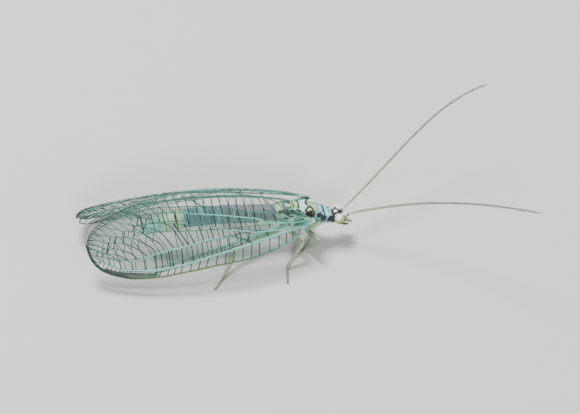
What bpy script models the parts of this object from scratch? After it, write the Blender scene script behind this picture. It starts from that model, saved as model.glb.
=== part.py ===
"""Green lacewing at rest, life size: a still display model that stands on its six feet.

Metres, +X towards the head, +Y towards the insect's left, +Z up. Sizes below are millimetres
from the middle of the thorax. place_on_floor() sets the finished model down, so that its soles
are at Z = 0 and the middle of its box is above the origin.
"""

import math

import bpy
import numpy as np

MM = 0.001
RIGHT, LEFT = -1, 1

# Stance and gaps
FLOOR = -2.15               # the floor, below the thorax's middle
GAP = 0.15                  # between a piece and what it grows from

# Body, from the middle part of the thorax out: lengths, then half widths and half heights
MESOTHORAX_FRONT = 0.46
MESOTHORAX_LENGTH = 1.34
MESOTHORAX_HALF = (0.70, 0.66)
PRONOTUM_LENGTH = 0.80
PRONOTUM_HALF = (0.46, 0.38)
PRONOTUM_HEIGHTS = (-0.50, -0.24)   # of its axis, at the front and the back
HEAD_HALF = (0.31, 0.43, 0.50)
HEAD_HEIGHT = -0.62
FACE = ((0.35, -0.55), (0.8, 0.6, 0.62))     # forward and up, then half sizes, as shares of HEAD_HALF
CROWN = ((-0.1, 0.45), (0.8, 0.62, 0.62))
EYE_RADIUS = 0.30
EYE_HIGHER = 1.12           # an eye's height, in its widths
EYE_PLACE = (0.03, 0.08)    # forward and up from the head's middle
EYE_BULGE = 0.22            # how far an eye stands out of the head's side
EYE_GAP = 0.04
EYE_TILT = 12.0             # degrees, top towards the back
LIP_PLACE = (0.38, -0.12)   # forward of the head's middle, and below its foot
LIP_HALF = (0.20, 0.24, 0.15)
PALP = ((0.36, 0.12, -0.14), (0.58, 0.24, -0.10), (0.74, 0.20, -0.30))
PALP_RADIUS = (0.12, 0.07)
LOBE_PLACE = (0.0, 0.25, 0.41)      # a pair on the middle of the thorax
LOBE_HALF = (0.42, 0.24, 0.30)
SHIELD_PLACE = (-0.58, 0.0, 0.41)
SHIELD_HALF = (0.26, 0.26, 0.30)
REAR_SHIELD_PLACE = (-1.40, 0.0, 0.31)
REAR_SHIELD_HALF = (0.28, 0.30, 0.28)
HINGE_PLACE = (-0.10, 0.62, -0.05)  # bears the left fore wing, which starts further out
HINGE_HALF = (0.28, 0.34, 0.17)
REAR_HINGE_PLACE = (-1.30, 0.50, 0.0)
REAR_HINGE_HALF = (0.20, 0.23, 0.14)
METATHORAX_LENGTH = 0.77
METATHORAX_HALF = (0.50, 0.56)
ABDOMEN_LENGTH = 7.63
ABDOMEN_RADIUS = 0.53
ABDOMEN_SEGMENTS = 9
ABDOMEN_GROOVE = 0.045      # depth of the ring between two segments
ABDOMEN_RISE = ((0, 0.0), (0.19, 0.03), (0.43, 0.15), (0.73, 0.07), (0.885, -0.2), (1, -0.55))
ABDOMEN_TAPER = (
    (0, 0.72), (0.08, 0.9), (0.3, 1.0), (0.62, 1.0), (0.82, 0.97), (0.92, 0.86), (0.97, 0.68), (1, 0.4))

PRONOTUM_X = (MESOTHORAX_FRONT + GAP + PRONOTUM_LENGTH, MESOTHORAX_FRONT + GAP)
HEAD_MIDDLE = (PRONOTUM_X[0] + GAP + HEAD_HALF[0], 0.0, HEAD_HEIGHT)
MESOTHORAX_X = (MESOTHORAX_FRONT, MESOTHORAX_FRONT - MESOTHORAX_LENGTH)
METATHORAX_X = (MESOTHORAX_X[1] - GAP, MESOTHORAX_X[1] - GAP - METATHORAX_LENGTH)
ABDOMEN_X = (METATHORAX_X[1] - GAP, METATHORAX_X[1] - GAP - ABDOMEN_LENGTH)

# Feelers: a thick first joint and a long tapered whip, through these places
FEELER_RADIUS = (0.22, 0.10)
SCAPE_RADIUS = 0.18
FEELER_BEADS = 20
FEELER_LEFT = (
    (2.30, 0.25, -0.36), (4.15, 1.57, 0.41), (6.70, 3.50, 1.43), (9.08, 4.99, 2.38), (11.65, 5.58, 3.41))
FEELER_RIGHT = (
    (2.30, -0.25, -0.36), (3.68, -0.56, 0.22), (6.62, -1.56, 1.40), (9.44, -3.10, 2.53),
    (12.06, -5.04, 3.57))

# Wings: a roof-shaped surface on each side carries two. The left pair lies flatter, under the right.
WING_LENGTH = 13.26
WING_ROOT = {RIGHT: (0.0, 1.01, -0.03), LEFT: (0.07, 1.28, -0.30)}     # forward, sideways, up
WING_TIP = {RIGHT: (1.38, -0.17), LEFT: (1.28, -0.64)}                 # sideways, up
WING_SLOPES = {RIGHT: (48.0, 48.0), LEFT: (50.0, 34.2)}     # degrees down from level, at root and tip
WING_SLOPE_SAG = {RIGHT: -2.7, LEFT: 3.5}   # steeper by this much half way out
WING_BOW = {RIGHT: 0.93, LEFT: 0.92}        # how far the middle stands out
WING_CAMBER = 0.2           # how far the margins turn in
WING_CAMBER_AT = 2.2        # at this distance from the wing's axis
FOREWING_OUT = 0.12         # middle of the fore wing's thickness, out from the surface
HINDWING_OUT = -0.48
HINDWING_SPAN = (0.085, 0.985)     # where it starts and ends, as shares of the fore wing's length
MEMBRANE = (0.40, 0.36)     # thickness of fore and hind wing
MARGIN_THICKNESS = 0.28
VEIN_HEIGHT = (0.10, 0.07)
VEIN_HALF_WIDTH = 0.13

# Wing outlines: share of the length, distance towards the front
FOREWING_FRONT = (
    (0, 0.25), (0.1, 0.86), (0.2, 1.33), (0.3, 1.62), (0.45, 1.82), (0.6, 2.02), (0.7, 2.12),
    (0.8, 2.07), (0.88, 1.80), (0.94, 1.42), (0.985, 0.68), (1, -0.06))
FOREWING_BACK = (
    (0, -0.25), (0.1, -1.0), (0.2, -1.66), (0.3, -2.02), (0.42, -2.36), (0.56, -2.51), (0.7, -2.34),
    (0.82, -2.0), (0.9, -1.54), (0.96, -1.0), (0.985, -0.62), (1, -0.06))
HINDWING_FRONT = (
    (0, 0.0), (0.1, 0.33), (0.2, 0.58), (0.35, 1.03), (0.5, 1.44), (0.65, 1.84), (0.78, 2.0),
    (0.87, 1.84), (0.94, 1.36), (0.985, 0.65), (1, 0.0))
HINDWING_BACK = (
    (0, -0.38), (0.1, -0.76), (0.2, -1.02), (0.35, -1.4), (0.5, -1.66), (0.68, -1.76), (0.8, -1.6),
    (0.9, -1.2), (0.96, -0.8), (0.985, -0.5), (1, 0.0))

# Main veins: share of the way from the back margin to the front one, at these shares of the length
VEIN_STATIONS = (0, 0.2, 0.4, 0.6, 0.8, 1)
FOREWING_VEINS = {
    "cubitus": (0.45, 0.46, 0.33, 0.264, 0.232, 0.22),
    "media": (0.56, 0.60, 0.528, 0.43, 0.415, 0.42),
    "sector": (0.63, 0.675, 0.636, 0.68, 0.754, 0.70),
    "radius": (0.70, 0.745, 0.829, 0.90, 0.90, 0.86),
}
HINDWING_VEINS = {
    "cubitus": (0.40, 0.36, 0.28, 0.25, 0.24, 0.22),
    "sector": (0.58, 0.60, 0.56, 0.60, 0.68, 0.62),
    "radius": (0.75, 0.80, 0.86, 0.90, 0.90, 0.84),
}
FOREWING_CROSSVEINS = 12
HINDWING_CROSSVEINS = 9
CROSSVEIN_SPAN = (0.13, 0.92)      # shares of the length from the first to the last
CROSSVEIN_SLANT = 0.07             # how far towards the tip it turns behind SLANT_STARTS, half way out
SLANT_STARTS = 0.3
CROSSVEIN_HALF_WIDTH = 0.011       # as a share of the length

# Legs: hip, end of the hip joint, knee, ankle and toe, sideways counted out from the middle
ANKLE_HEIGHT = FLOOR + 0.15
TOE_HEIGHT = FLOOR + 0.10
LEGS = {
    "fore": (
        (0.82, 0.30, -0.86), (0.02, 0.50, -1.22), (0.42, 1.80, -0.78),
        (-0.16, 1.12, ANKLE_HEIGHT), (-0.75, 1.62, TOE_HEIGHT)),
    "middle": (
        (-0.32, 0.34, -0.96), (-0.95, 0.50, -1.24), (-0.38, 1.55, -0.95),
        (-1.46, 2.50, ANKLE_HEIGHT), (-1.68, 3.55, TOE_HEIGHT)),
    "hind": (
        (-1.25, 0.32, -0.88), (-1.72, 0.45, -1.18), (-4.26, 1.46, -1.20),
        (-5.20, 2.75, ANKLE_HEIGHT), (-5.90, 3.60, TOE_HEIGHT)),
}
COXA_RADIUS = 0.23
FEMUR_RADIUS = 0.26
TIBIA_RADIUS = 0.22
TARSUS_RADIUS = 0.20
TOE_RADIUS = 0.14
LEG_SIDES = 8
LIMB_OVER = 0.6             # a length's rounded end, in its radii
LIMB_CAP = 0.62             # radius of its last ring, in its radii

# Colours as red, green, blue, and roughness
LOOKS = {
    "body": ((0.36, 0.55, 0.52), 0.45),
    "head": ((0.75, 0.82, 0.72), 0.40),
    "eye": ((0.30, 0.42, 0.20), 0.15),
    "mouth": ((0.12, 0.14, 0.07), 0.45),
    "feeler": ((0.33, 0.31, 0.24), 0.55),
    "leg": ((0.42, 0.50, 0.38), 0.50),
    "wing": ((0.55, 0.70, 0.62), 0.25),
}


def smooth(points, x):
    """Value at x of a curve through (x, value) points, with no overshoot between them."""
    xs = np.array([p[0] for p in points], float)
    ys = np.array([p[1] for p in points], float)
    steps = np.diff(ys) / np.diff(xs)
    slopes = np.empty(len(xs))
    slopes[0], slopes[-1] = steps[0], steps[-1]
    for i in range(1, len(xs) - 1):
        same_way = steps[i - 1] * steps[i] > 0
        slopes[i] = 2 * steps[i - 1] * steps[i] / (steps[i - 1] + steps[i]) if same_way else 0.0
    i = int(np.clip(np.searchsorted(xs, x) - 1, 0, len(xs) - 2))
    h = xs[i + 1] - xs[i]
    u = (x - xs[i]) / h
    return (
        (2 * u**3 - 3 * u**2 + 1) * ys[i]
        + (u**3 - 2 * u**2 + u) * h * slopes[i]
        + (3 * u**2 - 2 * u**3) * ys[i + 1]
        + (u**3 - u**2) * h * slopes[i + 1]
    )


def curve_through(points, count):
    """count places, evenly spaced along the one polynomial curve through the points."""
    points = np.array(points, float)
    lengths = np.linalg.norm(np.diff(points, axis=0), axis=1)
    stations = np.concatenate([[0], np.cumsum(lengths)]) / lengths.sum()
    dense = np.linspace(0, 1, 12 * count)
    track = np.zeros((len(dense), 3))
    for i, point in enumerate(points):
        others = np.delete(stations, i)
        weight = np.prod([(dense - o) / (stations[i] - o) for o in others], axis=0)
        track += weight[:, None] * point
    along = np.concatenate([[0], np.cumsum(np.linalg.norm(np.diff(track, axis=0), axis=1))])
    even = np.linspace(0, along[-1], count)
    return np.array([np.interp(even, along, track[:, k]) for k in range(3)]).T


def material(look):
    name = f"{look}_finish"
    if name in bpy.data.materials:
        return bpy.data.materials[name]
    colour, roughness = LOOKS[look]
    made = bpy.data.materials.new(name)
    made.use_nodes = True
    shader = made.node_tree.nodes["Principled BSDF"]
    shader.inputs["Base Color"].default_value = (*colour, 1)
    shader.inputs["Roughness"].default_value = roughness
    made.diffuse_color = (*colour, 1)
    return made


def mesh_object(name, points, faces, look):
    """One object from points in millimetres."""
    mesh = bpy.data.meshes.new(name)
    mesh.from_pydata([tuple(MM * c for c in p) for p in points], [], faces)
    mesh.validate()
    mesh.materials.append(material(look))
    mesh.shade_smooth()
    made = bpy.data.objects.new(name, mesh)
    bpy.context.scene.collection.objects.link(made)
    return made


def loft(name, rings, look):
    """A closed skin over rings of equal size, each turning the same way round the path."""
    sides = len(rings[0])
    points = [tuple(p) for ring in rings for p in ring]
    faces = []
    for i in range(len(rings) - 1):
        for j in range(sides):
            k = (j + 1) % sides
            a, b = i * sides, (i + 1) * sides
            faces.append((a + j, a + k, b + k, b + j))
    faces.append(tuple(range(sides))[::-1])
    last = (len(rings) - 1) * sides
    faces.append(tuple(range(last, last + sides)))
    return mesh_object(name, points, faces, look)


def tube_rings(path, radii, sides):
    """Rings square to a path, turned as little as possible from one to the next.

    They start with one flat side below, if the number of sides is even.
    """
    path = np.array(path, float)
    along = np.gradient(path, axis=0)
    along /= np.linalg.norm(along, axis=1)[:, None]
    across = np.cross(along[0], (0, 0, 1))
    across /= np.linalg.norm(across)
    side_angle = 2 * math.pi / sides
    angles = side_angle / 2 + np.arange(sides) * side_angle
    rings = []
    for place, radius, ahead in zip(path, radii, along):
        across = across - ahead * (across @ ahead)
        across /= np.linalg.norm(across)
        up = np.cross(ahead, across)
        rings.append([place + radius * (math.cos(a) * across + math.sin(a) * up) for a in angles])
    return rings


def body_rings(stations, sides):
    """Upright rings for stations of (x, height, half width, half height), from front to back."""
    angles = np.arange(sides) * 2 * math.pi / sides
    return [
        [(x, -half_width * math.cos(a), height + half_height * math.sin(a)) for a in angles]
        for x, height, half_width, half_height in stations
    ]


def ellipsoid(name, middle, half, look, rings=10, sides=16, tilt=0.0):
    """A closed egg with its poles on X, tipped by tilt degrees about Y."""
    lean = math.radians(tilt)
    rows = []
    for i in range(rings):
        turn = math.pi * (i + 0.5) / rings
        x, size = half[0] * math.cos(turn), math.sin(turn)
        row = []
        for j in range(sides):
            a = 2 * math.pi * j / sides
            y, z = -half[1] * size * math.cos(a), half[2] * size * math.sin(a)
            row.append((
                middle[0] + x * math.cos(lean) - z * math.sin(lean),
                middle[1] + y,
                middle[2] + x * math.sin(lean) + z * math.cos(lean),
            ))
        rows.append(row)
    return loft(name, rows, look)


def keep_largest_surface(made):
    """Drops every loose scrap but the largest closed surface."""
    mesh = made.data
    group = list(range(len(mesh.vertices)))

    def root(i):
        while group[i] != i:
            group[i] = group[group[i]]
            i = group[i]
        return i

    for edge in mesh.edges:
        a, b = (root(v) for v in edge.vertices)
        group[a] = b
    sizes = {}
    for polygon in mesh.polygons:
        top = root(polygon.vertices[0])
        sizes[top] = sizes.get(top, 0.0) + polygon.area
    largest = max(sizes, key=sizes.get)
    kept = [tuple(p.vertices) for p in mesh.polygons if root(p.vertices[0]) == largest]
    used = sorted({v for face in kept for v in face})
    place = {v: i for i, v in enumerate(used)}
    points = [tuple(mesh.vertices[v].co) for v in used]
    mesh.clear_geometry()
    mesh.from_pydata(points, [], [tuple(place[v] for v in face) for face in kept])
    mesh.shade_smooth()


def fuse(name, pieces):
    """One closed body from overlapping pieces, the first of which is the largest."""
    base, others = pieces[0], pieces[1:]
    group = bpy.data.collections.new(f"{name}_pieces")
    bpy.context.scene.collection.children.link(group)
    for piece in others:
        bpy.context.scene.collection.objects.unlink(piece)
        group.objects.link(piece)
    union = base.modifiers.new("union", "BOOLEAN")
    union.operation = "UNION"
    union.operand_type = "COLLECTION"
    union.collection = group
    union.solver = "EXACT"
    bpy.context.view_layer.update()
    graph = bpy.context.evaluated_depsgraph_get()
    joined = bpy.data.meshes.new_from_object(base.evaluated_get(graph))
    base.modifiers.clear()
    old = base.data
    base.data = joined
    bpy.data.meshes.remove(old)
    for piece in others:
        bpy.data.objects.remove(piece)
    bpy.data.collections.remove(group)
    base.name = name
    base.data.name = name
    keep_largest_surface(base)
    return base


def head():
    core = ellipsoid("head", HEAD_MIDDLE, HEAD_HALF, "head", rings=12, sides=20)
    x, _, z = HEAD_MIDDLE
    lumps = []
    for (forward, up), shares in (FACE, CROWN):
        middle = (x + forward * HEAD_HALF[0], 0, z + up * HEAD_HALF[2])
        lumps.append(ellipsoid("lump", middle, [s * h for s, h in zip(shares, HEAD_HALF)], "head"))
    return fuse("head", [core] + lumps)


def eye(side):
    x, _, z = HEAD_MIDDLE
    out = HEAD_HALF[1] + EYE_BULGE
    made = ellipsoid(
        "eye_left" if side == LEFT else "eye_right",
        (x + EYE_PLACE[0], 0, z + EYE_PLACE[1]),
        (EYE_RADIUS, out, EYE_RADIUS * EYE_HIGHER),
        "eye", rings=12, sides=24, tilt=EYE_TILT,
    )
    return cut_inside(made, side, HEAD_HALF[1] + EYE_GAP)


def cut_inside(made, side, inner):
    """Keeps the cap of a shape that lies beyond inner on one side, with a flat face there."""
    mesh = made.data
    points = np.array([v.co for v in mesh.vertices])
    low = side * points[:, 1] < inner * MM
    points[low, 1] = side * inner * MM
    shrink = inner / (HEAD_HALF[1] + EYE_BULGE)
    middle = points.mean(axis=0)
    rim = math.sqrt(1 - shrink * shrink)
    for i in np.flatnonzero(low):
        away = points[i, [0, 2]] - middle[[0, 2]]
        reach = math.hypot(away[0] / EYE_RADIUS, away[1] / (EYE_RADIUS * EYE_HIGHER)) / MM
        if reach > rim:
            points[i, [0, 2]] = middle[[0, 2]] + away * rim / reach
    mesh.vertices.foreach_set("co", points.astype(np.float32).ravel())
    mesh.update()
    return made


def mouthparts():
    x, _, z = HEAD_MIDDLE
    foot = z - HEAD_HALF[2] - GAP
    lip = ellipsoid(
        "mouthparts", (x + LIP_PLACE[0], 0, foot + LIP_PLACE[1]), LIP_HALF, "mouth", rings=8, sides=14)
    palps = []
    for side in (RIGHT, LEFT):
        path = curve_through([(x + p[0], side * p[1], foot + p[2]) for p in PALP], 9)
        palps.append(loft("palp", tube_rings(path, np.linspace(*PALP_RADIUS, len(path)), 8), "mouth"))
    return fuse("mouthparts", [lip] + palps)


def rounded_stations(front, back, half, count, fullness=0.55):
    """Stations of a barrel with rounded ends, between two (x, height) places."""
    made = []
    for u in np.linspace(0, 1, count):
        size = (1 - abs(2 * u - 1) ** 3) ** 0.5 * (1 - fullness) + fullness
        x = front[0] + (back[0] - front[0]) * u
        height = front[1] + (back[1] - front[1]) * u
        made.append((x, height, half[0] * size, half[1] * size))
    return made


def prothorax():
    front, back = zip(PRONOTUM_X, PRONOTUM_HEIGHTS)
    stations = rounded_stations(front, back, PRONOTUM_HALF, 9, 0.72)
    return loft("prothorax", body_rings(stations, 18), "body")


def mesothorax():
    front, back = MESOTHORAX_X
    stations = rounded_stations((front, -0.05), (back, 0), MESOTHORAX_HALF, 11, 0.6)
    core = loft("mesothorax", body_rings(stations, 20), "body")
    x, y, z = LOBE_PLACE
    lobes = [
        ellipsoid("lobe", (x, side * y, z), LOBE_HALF, "body", rings=8, sides=12)
        for side in (RIGHT, LEFT)
    ]
    shield = ellipsoid("shield", SHIELD_PLACE, SHIELD_HALF, "body", rings=8, sides=12)
    hinge = ellipsoid("hinge", HINGE_PLACE, HINGE_HALF, "body", rings=8, sides=12)
    return fuse("mesothorax", [core] + lobes + [shield, hinge])


def metathorax():
    front, back = METATHORAX_X
    stations = rounded_stations((front, 0.0), (back, 0.0), METATHORAX_HALF, 9, 0.7)
    core = loft("metathorax", body_rings(stations, 20), "body")
    shield = ellipsoid("shield", REAR_SHIELD_PLACE, REAR_SHIELD_HALF, "body", rings=8, sides=12)
    hinge = ellipsoid("hinge", REAR_HINGE_PLACE, REAR_HINGE_HALF, "body", rings=8, sides=12)
    return fuse("metathorax", [core, shield, hinge])


def abdomen():
    front, back = ABDOMEN_X
    stations = []
    per_segment = 3
    count = ABDOMEN_SEGMENTS * per_segment
    for i in range(count + 1):
        u = i / count
        x = front + (back - front) * u
        groove = ABDOMEN_GROOVE if i % per_segment == 0 and 0 < i < count else 0.0
        radius = ABDOMEN_RADIUS * smooth(ABDOMEN_TAPER, u) - groove
        stations.append((x, smooth(ABDOMEN_RISE, u), radius, radius))
    return loft("abdomen", body_rings(stations, 18), "body")


def feeler(side):
    route = FEELER_LEFT if side == LEFT else FEELER_RIGHT
    count = 2 * FEELER_BEADS + 1
    path = curve_through(route, count)
    thick, thin = FEELER_RADIUS
    radii = np.linspace(thick, thin, count) * np.where(np.arange(count) % 2 == 0, 0.9, 1.0)
    radii[0] = SCAPE_RADIUS
    name = "antenna_left" if side == LEFT else "antenna_right"
    return loft(name, tube_rings(path, radii, 8), "feeler")


def limb(start, end, radii):
    """One length of a leg. Its rounded ends reach a little over its two places, the floor cuts it flat."""
    start, end = np.array(start, float), np.array(end, float)
    ahead = (end - start) / np.linalg.norm(end - start)
    first, last = radii[0], radii[-1]
    path = [start - ahead * LIMB_OVER * first]
    path += [start + (end - start) * u for u in np.linspace(0, 1, len(radii))]
    path += [end + ahead * LIMB_OVER * last]
    radii = [LIMB_CAP * first] + list(radii) + [LIMB_CAP * last]
    rings = tube_rings(path, radii, LEG_SIDES)
    return loft("limb", [[(x, y, max(z, FLOOR)) for x, y, z in ring] for ring in rings], "leg")


def leg(pair, side):
    hip, joint, knee, ankle, toe = (np.array((p[0], side * p[1], p[2])) for p in LEGS[pair])
    lengths = [
        limb(joint, knee, [FEMUR_RADIUS * s for s in (0.85, 1.0, 1.0, 0.9)]),
        limb(hip, joint, [COXA_RADIUS * s for s in (0.9, 1.0, 0.95)]),
        limb(knee, ankle, [TIBIA_RADIUS * s for s in (1.05, 1.0, 0.9, 0.95)]),
        limb(ankle, toe, [TARSUS_RADIUS, 0.85 * TARSUS_RADIUS, TARSUS_RADIUS, TOE_RADIUS]),
    ]
    return fuse(f"{pair}leg_{'left' if side == LEFT else 'right'}", lengths)


def wing_place(side, share, towards_front, out):
    """A place on the roof surface: share of the length, distance to the front, distance out."""
    middle = 4 * share * (1 - share)
    at_root, at_tip = WING_SLOPES[side]
    slope = math.radians(at_root + (at_tip - at_root) * share + WING_SLOPE_SAG[side] * middle)
    out += WING_BOW[side] * middle - WING_CAMBER * (towards_front / WING_CAMBER_AT) ** 2
    forward, *root = WING_ROOT[side]
    sideways, height = (r + (t - r) * share for r, t in zip(root, WING_TIP[side]))
    sideways += towards_front * math.cos(slope) + out * math.sin(slope)
    height += -towards_front * math.sin(slope) + out * math.cos(slope)
    return np.array((forward - WING_LENGTH * share, side * sideways, height))


def wing_columns(veins):
    """For each lengthwise line of the grid: its vein or margin, and which side of that it lies on."""
    columns = [("back", 0), ("back", 1)]
    for vein in veins:
        columns += [(vein, -1), (vein, 0), (vein, 1)]
    return columns + [("front", -1), ("front", 0)]


def column_share(column, veins, length_share, chord):
    """Where a lengthwise line lies, as a share of the way from the back margin to the front one."""
    name, offset = column
    shares = [0.0] + [smooth(list(zip(VEIN_STATIONS, v)), length_share) for v in veins.values()] + [1.0]
    names = ["back"] + list(veins) + ["front"]
    at = names.index(name)
    room = min(b - a for a, b in zip(shares, shares[1:])) * 0.35
    return shares[at] + offset * min(VEIN_HALF_WIDTH / max(chord, VEIN_HALF_WIDTH), room)


def wing_rows(crossveins):
    """For each crosswise line: its share of the length, and whether it is a vein's crest."""
    rows = [(0.0, False), (0.04, False), (0.08, False)]
    first, last = CROSSVEIN_SPAN
    for share in np.linspace(first, last, crossveins):
        rows += [(share - CROSSVEIN_HALF_WIDTH, False), (share, True)]
        rows += [(share + CROSSVEIN_HALF_WIDTH, False)]
    return rows + [(0.965, False), (0.985, False)]


def wing(name, side, front, back, veins, crossveins, membrane, vein_height, out, span):
    """A thin roof-shaped vane, with the same triangles on both faces and veins raised on the outer one."""
    columns = wing_columns(veins)
    rows = wing_rows(crossveins)
    faces_of_place = [[], []]
    for share, crest in rows:
        for column in columns:
            behind = 1 - column_share(column, veins, share, smooth(front, share) - smooth(back, share))
            slant = CROSSVEIN_SLANT * 4 * share * (1 - share)
            at = share + slant * max(0.0, behind - SLANT_STARTS)
            low, high = smooth(back, at), smooth(front, at)
            across = low + (high - low) * column_share(column, veins, at, high - low)
            margin = column[1] == 0 and column[0] in ("back", "front")
            half = (MARGIN_THICKNESS if margin else membrane) / 2
            rise = vein_height if column[1] == 0 and not margin or crest and not margin else 0.0
            length_share = span[0] + (span[1] - span[0]) * at
            faces_of_place[0].append(wing_place(side, length_share, across, out + half + rise))
            faces_of_place[1].append(wing_place(side, length_share, across, out - half))
    tip = smooth(front, 1.0)
    for points, lift in zip(faces_of_place, (1, -1)):
        points.append(wing_place(side, span[1], tip, out + lift * 0.35 * MARGIN_THICKNESS))
    points = faces_of_place[0] + faces_of_place[1]
    return mesh_object(name, points, wing_triangles(len(rows), len(columns), side), "wing")


def wing_triangles(rows, columns, side):
    """Triangles of a grid's two faces, its rim, and the fan at its tip."""
    lower = rows * columns + 1
    triangles = []

    def both(a, b, c):
        triangles.append((a, b, c))
        triangles.append((lower + c, lower + b, lower + a))

    for i in range(rows - 1):
        for j in range(columns - 1):
            a = i * columns + j
            b, c, d = a + 1, a + columns + 1, a + columns
            both(a, b, c)
            both(a, c, d)
    last = (rows - 1) * columns
    apex = rows * columns
    for j in range(columns - 1):
        both(last + j, last + j + 1, apex)
    rim = [i * columns for i in range(rows)] + [apex]
    rim += [i * columns + columns - 1 for i in reversed(range(rows))]
    rim += list(reversed(range(1, columns - 1)))
    for a, b in zip(rim, rim[1:] + rim[:1]):
        triangles.append((a, b, lower + b))
        triangles.append((a, lower + b, lower + a))
    return triangles if side == LEFT else [t[::-1] for t in triangles]


def wings(side):
    ending = "left" if side == LEFT else "right"
    wing(
        f"forewing_{ending}", side, FOREWING_FRONT, FOREWING_BACK, FOREWING_VEINS, FOREWING_CROSSVEINS,
        MEMBRANE[0], VEIN_HEIGHT[0], FOREWING_OUT, (0.0, 1.0))
    wing(
        f"hindwing_{ending}", side, HINDWING_FRONT, HINDWING_BACK, HINDWING_VEINS, HINDWING_CROSSVEINS,
        MEMBRANE[1], VEIN_HEIGHT[1], HINDWING_OUT, HINDWING_SPAN)


def place_on_floor():
    """Moves every mesh, so that the model's box stands on the origin by its bottom's middle."""
    meshes = [o.data for o in bpy.context.scene.objects if o.type == "MESH"]
    corners = np.array([v.co for mesh in meshes for v in mesh.vertices])
    low, high = corners.min(axis=0), corners.max(axis=0)
    shift = np.array([-(low[0] + high[0]) / 2, -(low[1] + high[1]) / 2, -low[2]])
    for mesh in meshes:
        for vertex in mesh.vertices:
            vertex.co = [c + s for c, s in zip(vertex.co, shift)]


def main():
    for old in list(bpy.data.objects):
        bpy.data.objects.remove(old)
    head()
    mouthparts()
    prothorax()
    mesothorax()
    metathorax()
    abdomen()
    for side in (RIGHT, LEFT):
        eye(side)
        feeler(side)
        wings(side)
        for pair in LEGS:
            leg(pair, side)
    place_on_floor()


main()
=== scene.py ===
"""Looks of the green lacewing: skin, eyes, feelers, legs, veined wings and fine hairs over its solids.

Shapes are worked out in millimetres from the middle of the thorax, +X towards the head, +Y towards
the insect's left, +Z up. A piece is moved into the frame's own metres when it is made.
"""

import math

import bpy
import numpy as np
from mathutils import Matrix, Vector


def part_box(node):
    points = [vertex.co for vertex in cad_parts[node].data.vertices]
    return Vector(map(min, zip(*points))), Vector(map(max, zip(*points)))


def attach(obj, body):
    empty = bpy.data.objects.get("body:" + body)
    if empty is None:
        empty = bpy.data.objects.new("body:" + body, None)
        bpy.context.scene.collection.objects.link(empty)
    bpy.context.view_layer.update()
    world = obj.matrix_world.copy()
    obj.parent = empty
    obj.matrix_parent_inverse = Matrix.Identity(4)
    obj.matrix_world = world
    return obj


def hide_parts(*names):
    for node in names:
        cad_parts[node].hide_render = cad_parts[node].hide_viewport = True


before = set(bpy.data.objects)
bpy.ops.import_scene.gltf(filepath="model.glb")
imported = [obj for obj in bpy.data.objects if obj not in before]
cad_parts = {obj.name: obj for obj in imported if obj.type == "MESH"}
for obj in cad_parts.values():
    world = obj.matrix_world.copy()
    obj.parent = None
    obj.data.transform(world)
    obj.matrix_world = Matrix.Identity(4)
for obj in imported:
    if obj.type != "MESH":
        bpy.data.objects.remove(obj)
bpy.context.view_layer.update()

MM = 0.001
RIGHT, LEFT = -1, 1
SIDE_NAMES = {RIGHT: "right", LEFT: "left"}
FLOOR = -2.15               # the floor, below the thorax's middle
ABDOMEN_FRONT = -1.95
ABDOMEN_LENGTH = 7.63

abdomen_low, abdomen_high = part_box("abdomen")
SHIFT = np.array((abdomen_high.x / MM - ABDOMEN_FRONT, (abdomen_low.y + abdomen_high.y) / 2 / MM, -FLOOR))
CHANCE = np.random.default_rng(7)

# Wings: a roof-shaped surface on each side carries two. The left pair lies flatter, under the right.
WING_LENGTH = 13.26
WING_ROOT = {RIGHT: (0.0, 1.01, -0.03), LEFT: (0.07, 1.28, -0.30)}     # forward, sideways, up
WING_TIP = {RIGHT: (1.38, -0.17), LEFT: (1.28, -0.64)}                 # sideways, up
WING_SLOPES = {RIGHT: (48.0, 48.0), LEFT: (50.0, 34.2)}     # degrees down from level, at root and tip
WING_SLOPE_SAG = {RIGHT: -2.7, LEFT: 3.5}   # steeper by this much half way out
WING_BOW = {RIGHT: 0.93, LEFT: 0.92}        # how far the middle stands out
WING_CAMBER = 0.2           # how far the margins turn in
WING_CAMBER_AT = 2.2        # at this distance from the wing's axis
FOREWING_OUT = {RIGHT: 0.24, LEFT: 0.05}    # the film, out from the surface
HINDWING_OUT = {RIGHT: -0.34, LEFT: -0.34}
HINDWING_SPAN = (0.085, 0.985)
FILM_THICKNESS = 0.016
FILM_WAVE = 0.02            # how far the film swells between veins
FILM_GRID = (170, 44)       # points along and across
VEIN_LIFT = 0.3 * FILM_THICKNESS
VEIN_FLATNESS = 0.8         # height of a vein over its width
VEIN_STEP = 0.10
VEIN_SIDES = 7
RUNG_SIDES = 6
RUNG_PLACES = 7
RUNG_HALF_WIDTH = 0.033
RUNG_WAIST = 0.8            # thickness of a rung's middle over that of its ends
STIGMA_GRID = (60, 10)
STIGMA_THICKNESS = 0.020

# Wing outlines: share of the length, distance towards the front
FOREWING_FRONT = (
    (0, 0.25), (0.1, 0.86), (0.2, 1.33), (0.3, 1.62), (0.45, 1.82), (0.6, 2.02), (0.7, 2.12),
    (0.8, 2.07), (0.88, 1.80), (0.94, 1.42), (0.985, 0.68), (1, -0.06))
FOREWING_BACK = (
    (0, -0.25), (0.1, -1.0), (0.2, -1.66), (0.3, -2.02), (0.42, -2.36), (0.56, -2.51), (0.7, -2.34),
    (0.82, -2.0), (0.9, -1.54), (0.96, -1.0), (0.985, -0.62), (1, -0.06))
HINDWING_FRONT = (
    (0, 0.0), (0.1, 0.33), (0.2, 0.58), (0.35, 1.03), (0.5, 1.44), (0.65, 1.84), (0.78, 2.0), (0.87, 1.84),
    (0.94, 1.36), (0.985, 0.65), (1, 0.0))
HINDWING_BACK = (
    (0, -0.38), (0.1, -0.76), (0.2, -1.02), (0.35, -1.4), (0.5, -1.66), (0.68, -1.76), (0.8, -1.6),
    (0.9, -1.2), (0.96, -0.8), (0.985, -0.5), (1, 0.0))

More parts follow.
